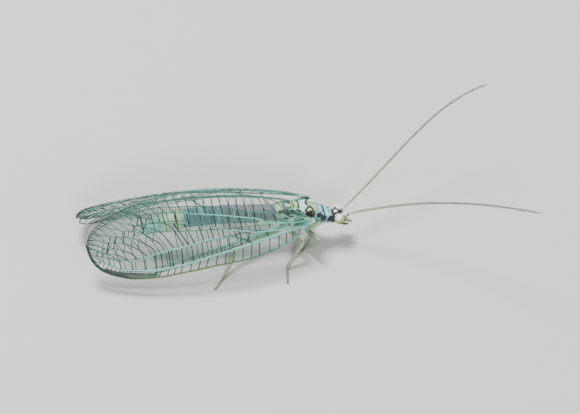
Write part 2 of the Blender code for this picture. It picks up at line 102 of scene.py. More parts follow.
# Long veins of the fore wing: share of the length, distance towards the front
RADIUS = (
    (0, 0.06), (0.096, 0.27), (0.188, 0.49), (0.28, 0.75), (0.372, 1.0), (0.463, 1.22), (0.555, 1.48),
    (0.646, 1.65), (0.736, 1.68), (0.808, 1.6), (0.853, 1.5), (0.888, 1.28), (0.929, 0.98), (0.975, 0.6))
SUBCOSTA = (
    (0, 0.13), (0.096, 0.34), (0.188, 0.56), (0.28, 0.82), (0.372, 1.07), (0.463, 1.29), (0.555, 1.55),
    (0.646, 1.73), (0.72, 1.80), (0.8, 1.86))
SECTOR = (
    (0.282, 0.75), (0.289, 0.72), (0.31, 0.55), (0.361, 0.29), (0.41, 0.28), (0.455, 0.29), (0.5, 0.34),
    (0.547, 0.48), (0.592, 0.57), (0.637, 0.63), (0.683, 0.73), (0.729, 0.86), (0.775, 0.99),
    (0.821, 1.09), (0.856, 1.03), (0.9, 0.78), (0.95, 0.36), (0.985, 0.12))
MEDIA = (
    (0, 0.0), (0.05, 0.09), (0.1, 0.14), (0.16, 0.17), (0.21, 0.17), (0.262, 0.16), (0.319, 0.02),
    (0.363, -0.06), (0.406, -0.17), (0.441, -0.36), (0.494, -0.48), (0.56, -0.66), (0.62, -0.8),
    (0.68, -0.9), (0.74, -0.95), (0.795, -0.93))
CUBITUS = (
    (0, -0.07), (0.06, -0.14), (0.137, -0.19), (0.204, -0.29), (0.251, -0.57), (0.312, -0.74),
    (0.391, -0.94), (0.44, -1.05), (0.5, -1.17), (0.56, -1.3), (0.62, -1.42), (0.68, -1.5),
    (0.74, -1.48), (0.8, -1.34))

# Legs: hip, end of the hip joint, knee, ankle and toe, sideways counted out from the middle
ANKLE_HEIGHT = FLOOR + 0.075
TOE_HEIGHT = FLOOR + 0.05
LEGS = {
    "fore": (
        (0.82, 0.30, -0.70), (0.02, 0.50, -1.22), (0.42, 1.80, -0.78),
        (-0.16, 1.12, ANKLE_HEIGHT), (-0.75, 1.62, TOE_HEIGHT)),
    "middle": (
        (-0.32, 0.34, -0.60), (-0.95, 0.50, -1.24), (-0.38, 1.55, -0.95),
        (-1.46, 2.50, ANKLE_HEIGHT), (-1.68, 3.55, TOE_HEIGHT)),
    "hind": (
        (-1.25, 0.32, -0.52), (-1.72, 0.45, -1.18), (-4.26, 1.46, -1.20),
        (-5.20, 2.75, ANKLE_HEIGHT), (-5.90, 3.60, TOE_HEIGHT)),
}

LEG_STRIPS = 8              # of the hair's map: hip joint, thigh, shin and five foot joints
HIP_HAIRS = 90
THIGH_HAIRS, SHIN_HAIRS, FOOT_HAIRS = 150, 190, 120     # for each millimetre of length
HIP_HAIR, THIGH_HAIR, SHIN_HAIR, FOOT_HAIR = 0.10, 0.11, 0.12, 0.07
HIP_RADIUS = 0.17
HIP_TAPER = 0.075           # how much less that is at the hip joint's end
THIGH_BOW = 0.10
SHIN_BOW = -0.04
# Half widths: share of the limb's length, half width in millimetres
THIGH = ((0, 0.066), (0.12, 0.092), (0.4, 0.108), (0.75, 0.096), (0.93, 0.082), (1, 0.07))
SHIN = ((0, 0.060), (0.06, 0.072), (0.5, 0.078), (0.9, 0.072), (1, 0.06))
FOOT_FLARE = ((0, 0.72), (0.3, 0.86), (0.8, 1.0), (1, 0.86))    # over the joint's half width
# Foot joints: where each starts and ends between ankle and toe, as a share, and its half width
FOOT_JOINTS = (
    (0.0, 0.34, 0.056), (0.36, 0.52, 0.052), (0.54, 0.67, 0.050), (0.69, 0.80, 0.050), (0.82, 1.0, 0.046))

FEELER_LEFT = (
    (2.30, 0.25, -0.36), (4.15, 1.57, 0.41), (6.70, 3.50, 1.43), (9.08, 4.99, 2.38), (11.65, 5.58, 3.41))
FEELER_RIGHT = (
    (2.30, -0.25, -0.36), (3.68, -0.56, 0.22), (6.62, -1.56, 1.40), (9.44, -3.10, 2.53),
    (12.06, -5.04, 3.57))
FEELER_SOCKET = (0.20, 0.17, 0.18)      # from the head's middle: forwards, sideways, up
FEELER_RADIUS = 0.062                   # half width of the whip at its root
FEELER_TAPER = 0.026                    # and how much less that is at its tip
FEELER_START = 0.016                    # share of its length where the beads begin
FEELER_BEADS = 86
BEAD_SWELL = (0.80, 0.97, 1.02, 1.04, 1.0)
BEAD_DARK = (0.5, 0.1, 0.0, 0.0, 0.1)
KNOB_RADII = 0.118 * np.array((0.55, 0.7, 0.84, 0.94, 1, 1.02, 1.0, 0.97, 0.9, 0.8, 0.66, 0.5))
KNOB_DARK = (1, 1, 1, 0.8, 0.2, 0, 0, 0, 0, 0, 0, 0.2)
COLLAR_LENGTH = 0.16
COLLAR_RADII = 0.085 * np.array((0.7, 0.9, 1, 1, 0.95, 1, 0.9, 0.7))

# Hairs: numbers, lengths, half widths at the root, and colour
BODY_HAIRS = 9000
BODY_HAIR_RADIUS = 0.0045
HEAD_HAIR, THORAX_HAIR, FLANK_HAIR, ABDOMEN_HAIR = 0.07, 0.13, 0.16, 0.085
FEELER_HAIRS = 1900
FEELER_HAIR = 0.075
FEELER_HAIR_TINT = (0.10, 0.09, 0.06)
KNOB_HAIRS = 60
KNOB_HAIR = 0.06
KNOB_HAIR_RADIUS = 0.004
LIMB_HAIR_RADIUS = 0.005
LEG_HAIR_TINT = (0.20, 0.22, 0.15)
WING_HAIR = 0.10
WING_HAIR_RADIUS = 0.0055
WING_HAIR_GAPS = (0.075, 0.10)  # on fore and hind wings
HAIR_LENGTHS = (0.75, 1.2)      # shortest and longest, over the length asked for
HAIR_SWAY = 0.12                # how far a tip bends aside, over the length
HAIR_ROUGHNESS = 0.6
HAIR_PATCH = 0.003              # a hair's patch of the map, across

HEAD_MIDDLE = (1.87, 0.0, -0.62)
HEAD_BACK = 1.5
HEAD_ASIDE = -0.06          # how far to the right the middle of its marks lies
EYE_MIDDLE = (1.90, 0.37, -0.54)
EYE_HALF = (0.285, 0.285, 0.33)
EYE_TILT = 12               # degrees, its top towards the back
EYE_REACH = 0.60 * math.pi  # how far the dome goes round from its outermost point
EYE_GRID = (110, 150)       # points from there inwards, and round
EYE_FACET_ROWS = 26
EYE_FACETS_ROUND = 0.62     # facets for each radian of a ring, over the number of rows
EYE_FACET_SWELL = 0.012
EYE_HIGHLIGHT_WAY = (-0.55, 0.0, 0.84)   # up and back, the eye turns from copper and green to a painted highlight of near white
EYE_HIGHLIGHT_SPAN = (0.01, 0.17)             # between these distances that way

# Palps of the mouth, from the head's middle: forwards, sideways, up
UPPER_PALP = ((0.24, 0.17, -0.44), (0.44, 0.27, -0.24), (0.64, 0.27, -0.24), (0.78, 0.22, -0.42))
LOWER_PALP = ((0.20, 0.10, -0.54), (0.42, 0.17, -0.62), (0.72, 0.15, -0.66))

SKIN_VOXEL = 0.017
SKIN_ROUNDS = 4             # of smoothing
TUBE_END = 0.6              # a tube's end point stands out by this share of its half width
NOISE_ROUGHNESS = 0.55

# Camera: the photograph's direction, and what its middle looks at, right and up from the thorax
CAMERA_AZIMUTH = -20.0
CAMERA_ELEVATION = 45.0
CAMERA_ROLL = 10.0
CAMERA_MIDDLE = (-0.971, 0.143)
CAMERA_DISTANCE = 400.0
FRAME_WIDTH = 33.14
SENSOR_WIDTH = 36.0

# Stage, in metres: each lamp's name, place, size across and power
FLOOR_SIZE = 3.0
FLOOR_COLOUR = (0.50, 0.51, 0.48)
SKY_COLOUR = (0.92, 0.96, 1.0)
SKY_STRENGTH = 0.42
LAMPS = (
    ("key", (-0.10, 0.16, 0.34), 0.14, 3.1),
    ("fill", (0.28, -0.26, 0.20), 0.30, 0.4),
    ("glint", (-0.06, -0.32, 0.185), 0.07, 1.2),
)


class Shape:
    """Points in millimetres, faces of three or four corners, and numbers for each point by name."""

    def __init__(self, points, faces, **tags):
        self.points = np.asarray(points, float).reshape(-1, 3)
        self.faces = [np.asarray(f, np.int64) for f in faces if len(f)]
        count = len(self.points)
        self.tags = {k: np.broadcast_to(np.asarray(v, float), (count,)).copy() for k, v in tags.items()}


def joined(shapes):
    """Several shapes as one. A number that a shape lacks is 0 on it."""
    shapes = list(shapes)
    names = sorted(set().union(*(s.tags for s in shapes)))
    starts = np.cumsum([0] + [len(s.points) for s in shapes])
    faces = []
    for corners in (3, 4):
        found = [f + start for s, start in zip(shapes, starts) for f in s.faces if f.shape[1] == corners]
        if found:
            faces.append(np.concatenate(found))
    tags = {
        name: np.concatenate([s.tags.get(name, np.zeros(len(s.points))) for s in shapes]) for name in names
    }
    return Shape(np.concatenate([s.points for s in shapes]), faces, **tags)


def grid_faces(rows, columns, wrap=False):
    """Four-cornered faces of a grid of points, closed round its columns with wrap."""
    i = np.arange(rows - 1)[:, None]
    j = np.arange(columns if wrap else columns - 1)[None, :]
    k = (j + 1) % columns
    this, after = i * columns, (i + 1) * columns
    corners = np.broadcast_arrays(this + j, this + k, after + k, after + j)
    return np.stack(corners, axis=-1).reshape(-1, 4)


def capped(rings, ends):
    """Points and faces of a row of closed rings, with a fan to a point at each end."""
    count, sides = rings.shape[:2]
    first, last = count * sides, count * sides + 1
    base = first - sides
    j = np.arange(sides)
    k = (j + 1) % sides
    fans = np.concatenate([
        np.stack([k, j, np.full(sides, first)], axis=1),
        np.stack([base + j, base + k, np.full(sides, last)], axis=1),
    ])
    return np.concatenate([rings.reshape(-1, 3), ends]), [grid_faces(count, sides, wrap=True), fans]


def smooth(points, x):
    """Values at x of a curve through (x, value) points, with no overshoot between them."""
    xs, ys = np.array(points, float).T
    x = np.asarray(x, float)
    steps = np.diff(ys) / np.diff(xs)
    inner = np.where(
        steps[1:] * steps[:-1] > 0,
        2 * steps[1:] * steps[:-1] / np.where(steps[1:] + steps[:-1] == 0, 1, steps[1:] + steps[:-1]), 0)
    slopes = np.concatenate([steps[:1], inner, steps[-1:]])
    i = np.clip(np.searchsorted(xs, x) - 1, 0, len(xs) - 2)
    h = xs[i + 1] - xs[i]
    u = np.clip((x - xs[i]) / h, 0, 1)
    return (
        (2 * u**3 - 3 * u**2 + 1) * ys[i]
        + (u**3 - 2 * u**2 + u) * h * slopes[i]
        + (3 * u**2 - 2 * u**3) * ys[i + 1]
        + (u**3 - u**2) * h * slopes[i + 1]
    )


def blend(low, high, x):
    """0 below low, 1 above high, and a soft step between them."""
    u = np.clip((np.asarray(x, float) - low) / (high - low), 0, 1)
    return u * u * (3 - 2 * u)


def length_along(path):
    return np.concatenate([[0], np.cumsum(np.linalg.norm(np.diff(path, axis=0), axis=1))])


def between(stops, along, rows):
    """Rows of numbers known at the distances along, read off at the distances stops."""
    return np.stack([np.interp(stops, along, values) for values in np.transpose(rows)], axis=1)


def spaced(path, count):
    """count places at even distances along a path."""
    along = length_along(path)
    return between(np.linspace(0, along[-1], count), along, path)


def curve_through(points, count):
    """count places, evenly spaced along the one polynomial curve through the points."""
    points = np.array(points, float)
    stations = length_along(points)
    stations = stations / stations[-1]
    dense = np.linspace(0, 1, 12 * count)
    track = np.zeros((len(dense), points.shape[1]))
    for i, point in enumerate(points):
        others = np.delete(stations, i)
        weight = np.prod([(dense - o) / (stations[i] - o) for o in others], axis=0)
        track += weight[:, None] * point
    return spaced(track, count)


def frames_along(path, up=None):
    """Ahead, across and above at each place of a path, turned as little as possible, or by up."""
    ahead = np.gradient(path, axis=0)
    ahead /= np.linalg.norm(ahead, axis=1)[:, None]
    if up is None:
        start = np.array((0, 0, 1.0)) if abs(ahead[0][2]) < 0.9 else np.array((1.0, 0, 0))
        across = np.cross(start, ahead[0])
        rows = []
        for way in ahead:
            across = across - way * (across @ way)
            across = across / np.linalg.norm(across)
            rows.append(across)
        across = np.array(rows)
    else:
        across = np.cross(np.broadcast_to(up, path.shape), ahead)
        across /= np.linalg.norm(across, axis=1)[:, None]
    return ahead, across, np.cross(ahead, across)


def tube(path, radii, sides, up=None, flat=1.0, **tags):
    """A closed tube along a path. With up, its section is flat times as high as it is wide."""
    path = np.asarray(path, float)
    count = len(path)
    radii = np.broadcast_to(np.asarray(radii, float), (count,))
    ahead, across, above = frames_along(path, up)
    angles = np.arange(sides) * 2 * math.pi / sides
    wide = np.cos(angles)[None, :, None] * across[:, None, :]
    high = np.sin(angles)[None, :, None] * above[:, None, :] * flat
    rings = path[:, None, :] + radii[:, None, None] * (wide + high)
    ends = [path[0] - ahead[0] * radii[0] * TUBE_END, path[-1] + ahead[-1] * radii[-1] * TUBE_END]
    per_point = {}
    for name, value in tags.items():
        value = np.broadcast_to(np.asarray(value, float), (count,))
        per_point[name] = np.concatenate([np.repeat(value, sides), value[[0, -1]]])
    return Shape(*capped(rings, ends), **per_point)


def unit(ways):
    return ways / np.maximum(np.linalg.norm(ways, axis=-1), 1e-9)[..., None]


def inset(share):
    """A share from 0 to 1 as a place on the map, a little way in from its edges."""
    return 0.01 + 0.98 * share


def hairs(roots, ways, lengths, radius, u, v, rgb):
    """Tapered hairs with three sides, each with its own small patch of the map at its root's place."""
    count = len(roots)
    ways = unit(ways)
    helper = np.where(np.abs(ways[:, 2:3]) < 0.8, [[0, 0, 1.0]], [[1.0, 0, 0]])
    across = unit(np.cross(ways, helper))
    above = np.cross(ways, across)
    lengths = lengths * CHANCE.uniform(*HAIR_LENGTHS, count)
    sway = (across * CHANCE.normal(size=(count, 1)) + above * CHANCE.normal(size=(count, 1))) * HAIR_SWAY
    corners, maps = [], []
    for along, size in ((-0.06, 1.0), (0.5, 0.66)):
        middle = roots + (ways * along + sway * along**2) * lengths[:, None]
        for turn in np.arange(3) * 2 * math.pi / 3:
            side = math.cos(turn) * across + math.sin(turn) * above
            corners.append(middle + side * (radius * size))
            reach = HAIR_PATCH / 2 * (1 - max(along, 0))
            maps.append((reach * math.cos(turn), reach * math.sin(turn)))
    corners.append(roots + (ways + sway) * lengths[:, None])
    maps.append((0.0, 0.0))
    points = np.stack(corners, axis=1).reshape(-1, 3)
    start = len(corners) * np.arange(count)[:, None, None]
    walls = (start + np.array([(0, 1, 4, 3), (1, 2, 5, 4), (2, 0, 3, 5)])).reshape(-1, 4)
    ends = (start + np.array([(3, 4, 6), (4, 5, 6), (5, 3, 6), (0, 2, 1)])).reshape(-1, 3)
    offsets = np.array(maps)
    u = (u[:, None] + offsets[:, 0]).ravel()
    v = (v[:, None] + offsets[:, 1]).ravel()
    red, green, blue = np.repeat(np.broadcast_to(rgb, (count, 3)), len(corners), axis=0).T
    return Shape(points, [ends, walls], u=u, v=v, red=red, green=green, blue=blue)


def hairs_round(path, radii, number, length, rgb, lean, row, rows, radius=LIMB_HAIR_RADIUS):
    """Hairs all round a limb's path. Its strip of the map is row out of rows."""
    ahead, across, above = frames_along(path)
    place = CHANCE.uniform(0.02, 0.98, number) * (len(path) - 1)
    low = np.floor(place).astype(int)
    part = (place - low)[:, None]
    turn = CHANCE.uniform(0, 2 * math.pi, number)
    out = np.cos(turn)[:, None] * across[low] + np.sin(turn)[:, None] * above[low]
    middle = path[low] * (1 - part) + path[low + 1] * part
    size = radii[low] * (1 - part[:, 0]) + radii[low + 1] * part[:, 0]
    u = inset(place / (len(path) - 1))
    v = (row + 0.1 + 0.8 * turn / (2 * math.pi)) / rows
    roots = middle + out * size[:, None] * 0.97
    return hairs(roots, out + ahead[low] * lean, length, radius, u, v, rgb)


def barrel(stations, sides, square=2.0, **tags):
    """A closed body along X. Each station is (x, height, half width, half height), from front to back."""
    x, height, half_width, half_height = np.array(stations, float).T
    angles = np.arange(sides) * 2 * math.pi / sides
    c, s = np.cos(angles), np.sin(angles)
    power = 2 / square
    c, s = np.sign(c) * np.abs(c) ** power, np.sign(s) * np.abs(s) ** power
    rings = np.stack([
        np.repeat(x[:, None], sides, axis=1),
        -half_width[:, None] * c,
        height[:, None] + half_height[:, None] * s,
    ], axis=-1)
    ends = [(x[0], 0, height[0]), (x[-1], 0, height[-1])]
    return Shape(*capped(rings, ends), **tags)


def turned(a, b, degrees):
    """Two coordinates, turned by degrees in their own plane."""
    angle = math.radians(degrees)
    return a * math.cos(angle) - b * math.sin(angle), a * math.sin(angle) + b * math.cos(angle)


def egg(middle, half, rings=20, sides=28, tilt=0.0, turn=0.0, **tags):
    """An ellipsoid with its poles on X, tipped by tilt degrees, then turned by turn degrees about Z."""
    turns = np.linspace(0, math.pi, rings + 2)[1:-1]
    stations = [(half[0] * math.cos(a), 0, half[1] * math.sin(a), half[2] * math.sin(a)) for a in turns]
    made = barrel(stations, sides, **tags)
    made.points[-2:] = ((half[0], 0, 0), (-half[0], 0, 0))
    x, y, z = made.points.T
    x, z = turned(x, z, tilt)
    x, y = turned(x, y, turn)
    made.points = np.stack([x, y, z], axis=1) + np.asarray(middle, float)
    return made


def pair(middle, half, **more):
    """The same egg on both sides of the body."""
    x, y, z = middle
    turn = more.pop("turn", 0.0)
    return [egg((x, side * y, z), half, turn=side * turn, **more) for side in (RIGHT, LEFT)]


def blender_mesh(name, shape, scale=MM, shift=SHIFT):
    mesh = bpy.data.meshes.new(name)
    points = (shape.points + shift) * scale
    corners = np.concatenate([f.ravel() for f in shape.faces])
    sizes = np.concatenate([np.full(len(f), f.shape[1]) for f in shape.faces])
    mesh.vertices.add(len(points))
    mesh.vertices.foreach_set("co", points.astype(np.float32).ravel())
    mesh.loops.add(len(corners))
    mesh.polygons.add(len(sizes))
    mesh.polygons.foreach_set("loop_start", np.concatenate([[0], np.cumsum(sizes)[:-1]]).astype(np.int32))
    mesh.polygons.foreach_set("vertices", corners.astype(np.int32))
    mesh.update(calc_edges=True)
    return mesh


def piece(name, shape, material, stands_for):
    """A visible piece of the insect, in place in the frame. The numbers u and v become its map."""
    mesh = blender_mesh(name, shape)
    tags = dict(shape.tags)
    if "u" in tags:
        corners = np.empty(len(mesh.loops), np.int32)
        mesh.loops.foreach_get("vertex_index", corners)
        uv = np.stack([tags.pop("u"), tags.pop("v")], axis=1)[corners]
        mesh.uv_layers.new(name="OFBake").data.foreach_set("uv", uv.astype(np.float32).ravel())
    if "red" in tags:
        rgb = [tags.pop(channel) for channel in ("red", "green", "blue")] + [np.ones(len(mesh.vertices))]
        tint = mesh.attributes.new("tint", "FLOAT_COLOR", "POINT")
        tint.data.foreach_set("color", np.stack(rgb, axis=1).astype(np.float32).ravel())
    for tag, values in tags.items():
        attribute = mesh.attributes.new(tag, "FLOAT", "POINT")
        attribute.data.foreach_set("value", values.astype(np.float32))
    mesh.materials.append(material)
    mesh.shade_smooth()
    made = bpy.data.objects.new(name, mesh)
    bpy.context.scene.collection.objects.link(made)
    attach(made, "root")
    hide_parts(*stands_for)


# Materials


class Paint:
    """A material's node tree, with short calls for the nodes used here."""

    def __init__(self, name, **settings):
        self.material = bpy.data.materials.new(name)
        self.material.use_nodes = True
        self.tree = self.material.node_tree
        self.shader = self.tree.nodes["Principled BSDF"]
        for socket, value in settings.items():
            self.set(socket.replace("_", " "), value)

    def set(self, socket, value):
        slot = self.shader.inputs[socket]
        if isinstance(value, bpy.types.NodeSocket):
            self.tree.links.new(value, slot)
        elif isinstance(value, tuple) and slot.type == "RGBA":
            slot.default_value = (*value, 1)
        else:
            slot.default_value = value

    def node(self, kind, inputs=(), **settings):
        made = self.tree.nodes.new(kind)
        for key, value in settings.items():
            setattr(made, key, value)
        for key, value in dict(inputs).items():
            if isinstance(value, bpy.types.NodeSocket):
                self.tree.links.new(value, made.inputs[key])
            else:
                made.inputs[key].default_value = value
        return made

    def place(self):
        """Places in the piece's own frame, in millimetres."""
        source = self.node("ShaderNodeTexCoord").outputs["Object"]
        return self.node("ShaderNodeVectorMath", {0: source, 3: 1 / MM}, operation="SCALE").outputs[0]

    def tag(self, name):
        return self.node("ShaderNodeAttribute", attribute_name=name)

    def noise(self, where, scale, detail=4.0):
        inputs = {"Vector": where, "Scale": scale, "Detail": detail, "Roughness": NOISE_ROUGHNESS}
        return self.node("ShaderNodeTexNoise", inputs).outputs["Fac"]

    def spread(self, value, low, high, to_low=0.0, to_high=1.0):
        inputs = {"Value": value, "From Min": low, "From Max": high, "To Min": to_low, "To Max": to_high}
        return self.node("ShaderNodeMapRange", inputs).outputs["Result"]

    def mix(self, share, first, second, how="MIX"):
        made = self.node("ShaderNodeMix", data_type="RGBA", blend_type=how)
        for key, value in ((0, share), (6, first), (7, second)):
            if isinstance(value, bpy.types.NodeSocket):
                self.tree.links.new(value, made.inputs[key])
            else:
                made.inputs[key].default_value = (*value, 1) if isinstance(value, tuple) else value
        return made.outputs[2]

    def bump(self, height, distance, strength=1.0):
        inputs = {"Height": height, "Distance": distance * MM, "Strength": strength}
        self.set("Normal", self.node("ShaderNodeBump", inputs).outputs["Normal"])

    def patches(self, where, scale):
        """Soft patches, from 0 to 1."""
        return self.spread(self.noise(where, scale), 0.3, 0.7)

    def mottled_tint(self, mottle, dark):
        """Colour the surface with the piece's own tint, multiplied by dark where mottle is low."""
        tint = self.tag("tint").outputs["Color"]
        darker = self.mix(1.0, tint, dark, how="MULTIPLY")
        self.set("Base Color", self.mix(mottle, darker, tint))


def skin_paint(name):
    """Horny skin in the piece's own tint, a little mottled, finely wrinkled and with a soft waxy gloss."""
    paint = Paint(
        name, Specular_IOR_Level=0.22, Coat_Weight=0.04, Coat_Roughness=0.25, Subsurface_Weight=0.04,
        Subsurface_Radius=(0.25, 0.35, 0.2), Subsurface_Scale=0.06 * MM)
    where = paint.place()
    paint.mottled_tint(paint.spread(paint.noise(where, 3.5, detail=5.0), 0.35, 0.7), (0.80, 0.84, 0.80))
    paint.set("Roughness", paint.spread(paint.noise(where, 9.0), 0.3, 0.7, 0.34, 0.52))
    paint.bump(paint.noise(where, 26.0, detail=3.0), 0.012)
    return paint.material


def film_paint(name, alpha, shimmer):
    """Clear wing film with a green cast and an oily shimmer."""
    paint = Paint(
        name, Base_Color=(0.10, 0.26, 0.20), Alpha=alpha, Roughness=0.34, Specular_IOR_Level=0.35,
        Thin_Film_Thickness=shimmer, Thin_Film_IOR=1.38)
    paint.bump(paint.noise(paint.place(), 2.2, detail=2.0), 0.02, 0.6)
    return paint.material


def horn_paint(name, roughness):
    """Hard skin in the piece's own tint, a little uneven. Made once for each name."""
    if name in bpy.data.materials:
        return bpy.data.materials[name]
    paint = Paint(name, Roughness=roughness, Specular_IOR_Level=0.22)
    paint.mottled_tint(paint.patches(paint.place(), 5.0), (0.78, 0.80, 0.76))
    return paint.material


def marked_paint(name, pale, dark):
    """Horn that goes from pale to dark as its own number says."""
    paint = Paint(name, Roughness=0.38, Specular_IOR_Level=0.3)
    shade = paint.mix(paint.patches(paint.place(), 4.0), pale, tuple(0.8 * c for c in pale))
    paint.set("Base Color", paint.mix(paint.tag("dark").outputs["Fac"], shade, dark))
    return paint.material


def eye_paint():
    """Glossy compound eye: a painted highlight of near white above, bands of copper and green below, dark
    facet rims.
    """
    paint = Paint(
        "eye_facets", Roughness=0.16, Specular_IOR_Level=0.8, Coat_Weight=0.8, Coat_Roughness=0.05,
        Metallic=0.2)
    where = paint.place()
    bands = paint.spread(paint.noise(where, 1.6, detail=1.0), 0.40, 0.60)
    banded = paint.mix(bands, (0.18, 0.36, 0.05), (0.66, 0.16, 0.03))
    # The near white part, up and back, is a painted highlight.
    toward_highlight = paint.node("ShaderNodeVectorMath", {0: where, 1: EYE_HIGHLIGHT_WAY}, operation="DOT_PRODUCT")
    highlighted = paint.mix(paint.spread(toward_highlight.outputs["Value"], *EYE_HIGHLIGHT_SPAN), banded, (0.90, 1.0, 0.93))
    cells = paint.node("ShaderNodeTexVoronoi", {"Vector": where, "Scale": 34.0}, feature="F1")
    rims = paint.spread(cells.outputs["Distance"], 0.5, 1.0)
    paint.set("Base Color", paint.mix(rims, highlighted, (0.10, 0.14, 0.05)))
    return paint.material


# Body


def skin_over(shapes):
    """One closed skin round overlapping closed shapes: its points and faces, in millimetres."""
    mesh = blender_mesh("skin_pieces", joined(shapes), scale=1.0, shift=np.zeros(3))
    helper = bpy.data.objects.new("skin_pieces", mesh)
    bpy.context.scene.collection.objects.link(helper)
    wrap = helper.modifiers.new("wrap", "REMESH")
    wrap.mode = "VOXEL"
    wrap.voxel_size = SKIN_VOXEL
    soften = helper.modifiers.new("soften", "SMOOTH")
    soften.factor = 0.5
    soften.iterations = SKIN_ROUNDS
    graph = bpy.context.evaluated_depsgraph_get()
    made = bpy.data.meshes.new_from_object(helper.evaluated_get(graph))
    points = np.empty(len(made.vertices) * 3, np.float32)
    made.vertices.foreach_get("co", points)
    sizes = np.empty(len(made.polygons), np.int32)
    made.polygons.foreach_get("loop_total", sizes)
    corners = np.empty(len(made.loops), np.int32)
    made.loops.foreach_get("vertex_index", corners)
    starts = np.concatenate([[0], np.cumsum(sizes)[:-1]])
    faces = [corners[starts[sizes == n][:, None] + np.arange(n)] for n in (3, 4) if (sizes == n).any()]
    bpy.data.objects.remove(helper)
    bpy.data.meshes.remove(mesh)
    bpy.data.meshes.remove(made)
    return Shape(points.reshape(-1, 3), faces)


def normals_of(shape):
    """Direction out of the surface at each point."""
    total = np.zeros_like(shape.points)
    for faces in shape.faces:
        a, b, c = (shape.points[faces[:, k]] for k in (0, 1, 2))
        d = shape.points[faces[:, -1]]
        out = np.cross(b - a, c - a) + (np.cross(c - a, d - a) if faces.shape[1] == 4 else 0)
        for k in range(faces.shape[1]):
            np.add.at(total, faces[:, k], out)
    return total / np.maximum(np.linalg.norm(total, axis=1), 1e-12)[:, None]


ABDOMEN_RISE = ((0, 0.0), (0.19, 0.03), (0.43, 0.15), (0.73, 0.07), (0.885, -0.2), (1, -0.55))
ABDOMEN_TAPER = (
    (0, 0.72), (0.08, 0.9), (0.3, 1.0), (0.62, 1.0), (0.82, 0.97), (0.92, 0.88), (0.965, 0.72), (1, 0.42))
ABDOMEN_HALF = (0.47, 0.53)
ABDOMEN_SEGMENTS = 9
SEGMENT_STEPS = 12
SEGMENT_OVERLAP = 0.035
# Height of the body's middle line, for the places of its hairs on the map
BODY_AXIS = (
    (-9.6, -0.55), (-8.0, -0.10), (-5.2, 0.14), (-2.0, 0.0), (0.0, -0.04), (1.0, -0.38), (1.9, -0.62))


def abdomen_shapes():
    """Nine overlapping rings that swell a little towards their back edge, and the lobes of the tip."""
    stations = []
    for i in range(ABDOMEN_SEGMENTS * SEGMENT_STEPS + 1):
        share = i / (ABDOMEN_SEGMENTS * SEGMENT_STEPS)
        within = (i % SEGMENT_STEPS) / SEGMENT_STEPS
        size = float(smooth(ABDOMEN_TAPER, share))
        swell = SEGMENT_OVERLAP * (0.6 * math.sin(math.pi * within) + 1.2 * within**4 - 0.9 * (within == 0))
        x = ABDOMEN_FRONT + 0.1 - (ABDOMEN_LENGTH + 0.02) * share
        height = float(smooth(ABDOMEN_RISE, share))
        stations.append((x, height, ABDOMEN_HALF[0] * size + swell, ABDOMEN_HALF[1] * size + swell))
    tip = ABDOMEN_FRONT - ABDOMEN_LENGTH
    return [
        barrel(stations, 56),
        *pair((tip + 0.24, 0.14, -0.42), (0.27, 0.17, 0.24), tilt=20),
        egg((tip + 0.28, 0, -0.66), (0.27, 0.19, 0.15), tilt=20),
    ]


def prothorax_shapes():
    """Neck, the plate behind the head, the way back to the middle thorax, and the swellings below."""
    neck = (
        (1.66, -0.55, 0.20, 0.18), (1.55, -0.54, 0.27, 0.25), (1.4, -0.5, 0.30, 0.28),
        (1.2, -0.45, 0.30, 0.28))
    plate = (
        (1.45, -0.47, 0.34, 0.20), (1.41, -0.465, 0.395, 0.27), (1.30, -0.44, 0.43, 0.32),
        (1.12, -0.40, 0.445, 0.345), (1.02, -0.375, 0.43, 0.335), (0.94, -0.355, 0.455, 0.36),
        (0.78, -0.31, 0.475, 0.38), (0.66, -0.27, 0.46, 0.36), (0.60, -0.25, 0.40, 0.29))
    return [
        barrel(neck, 40),
        barrel(plate, 48, square=2.6),
        barrel(((0.75, -0.30, 0.36, 0.33), (0.5, -0.2, 0.38, 0.38), (0.3, -0.1, 0.45, 0.45)), 40),
        *pair((1.05, 0.40, -0.52), (0.36, 0.12, 0.17), tilt=-8),
        *pair((0.80, 0.24, -0.68), (0.24, 0.17, 0.20)),
        *pair((1.60, 0.18, -0.80), (0.21, 0.17, 0.19)),
    ]


def mesothorax_shapes():
    """The middle of the thorax: its core, its swellings, and the fore wings' bases."""
    core = (
        (0.52, -0.12, 0.38, 0.36), (0.45, -0.10, 0.50, 0.46), (0.3, -0.06, 0.6, 0.54),
        (0.0, -0.04, 0.65, 0.58), (-0.45, -0.04, 0.65, 0.58), (-0.8, -0.03, 0.58, 0.52),
        (-0.95, -0.02, 0.5, 0.46))
    return [
        barrel(core, 56),
        *pair((0.25, 0.17, 0.30), (0.27, 0.18, 0.22), turn=-12, tilt=-14),
        *pair((-0.07, 0.34, 0.34), (0.40, 0.24, 0.28), turn=-10),
        egg((-0.10, 0, 0.38), (0.30, 0.15, 0.22)),
        egg((-0.58, 0, 0.42), (0.27, 0.26, 0.24), tilt=6),
        *pair((-0.56, 0.34, 0.30), (0.22, 0.17, 0.2)),
        *pair((0.20, 0.50, -0.22), (0.30, 0.19, 0.34), tilt=16),
        *pair((-0.22, 0.52, -0.24), (0.24, 0.19, 0.38), tilt=16),
        *pair((-0.60, 0.50, -0.22), (0.26, 0.17, 0.34), tilt=16),
        *pair((-0.15, 0.32, -0.52), (0.30, 0.22, 0.22)),
        *pair((0.06, 0.74, 0.06), (0.24, 0.20, 0.13), turn=12),
        *pair((0.14, 0.88, -0.04), (0.17, 0.13, 0.11), turn=10),
        *pair((-0.14, 0.80, 0.12), (0.20, 0.16, 0.09)),
        egg((-0.02, 0.90, -0.04), (0.24, 0.22, 0.13)),
        egg((0.04, 1.10, -0.16), (0.17, 0.17, 0.11)),
        egg((-0.16, 1.02, 0.02), (0.20, 0.16, 0.08)),
    ]


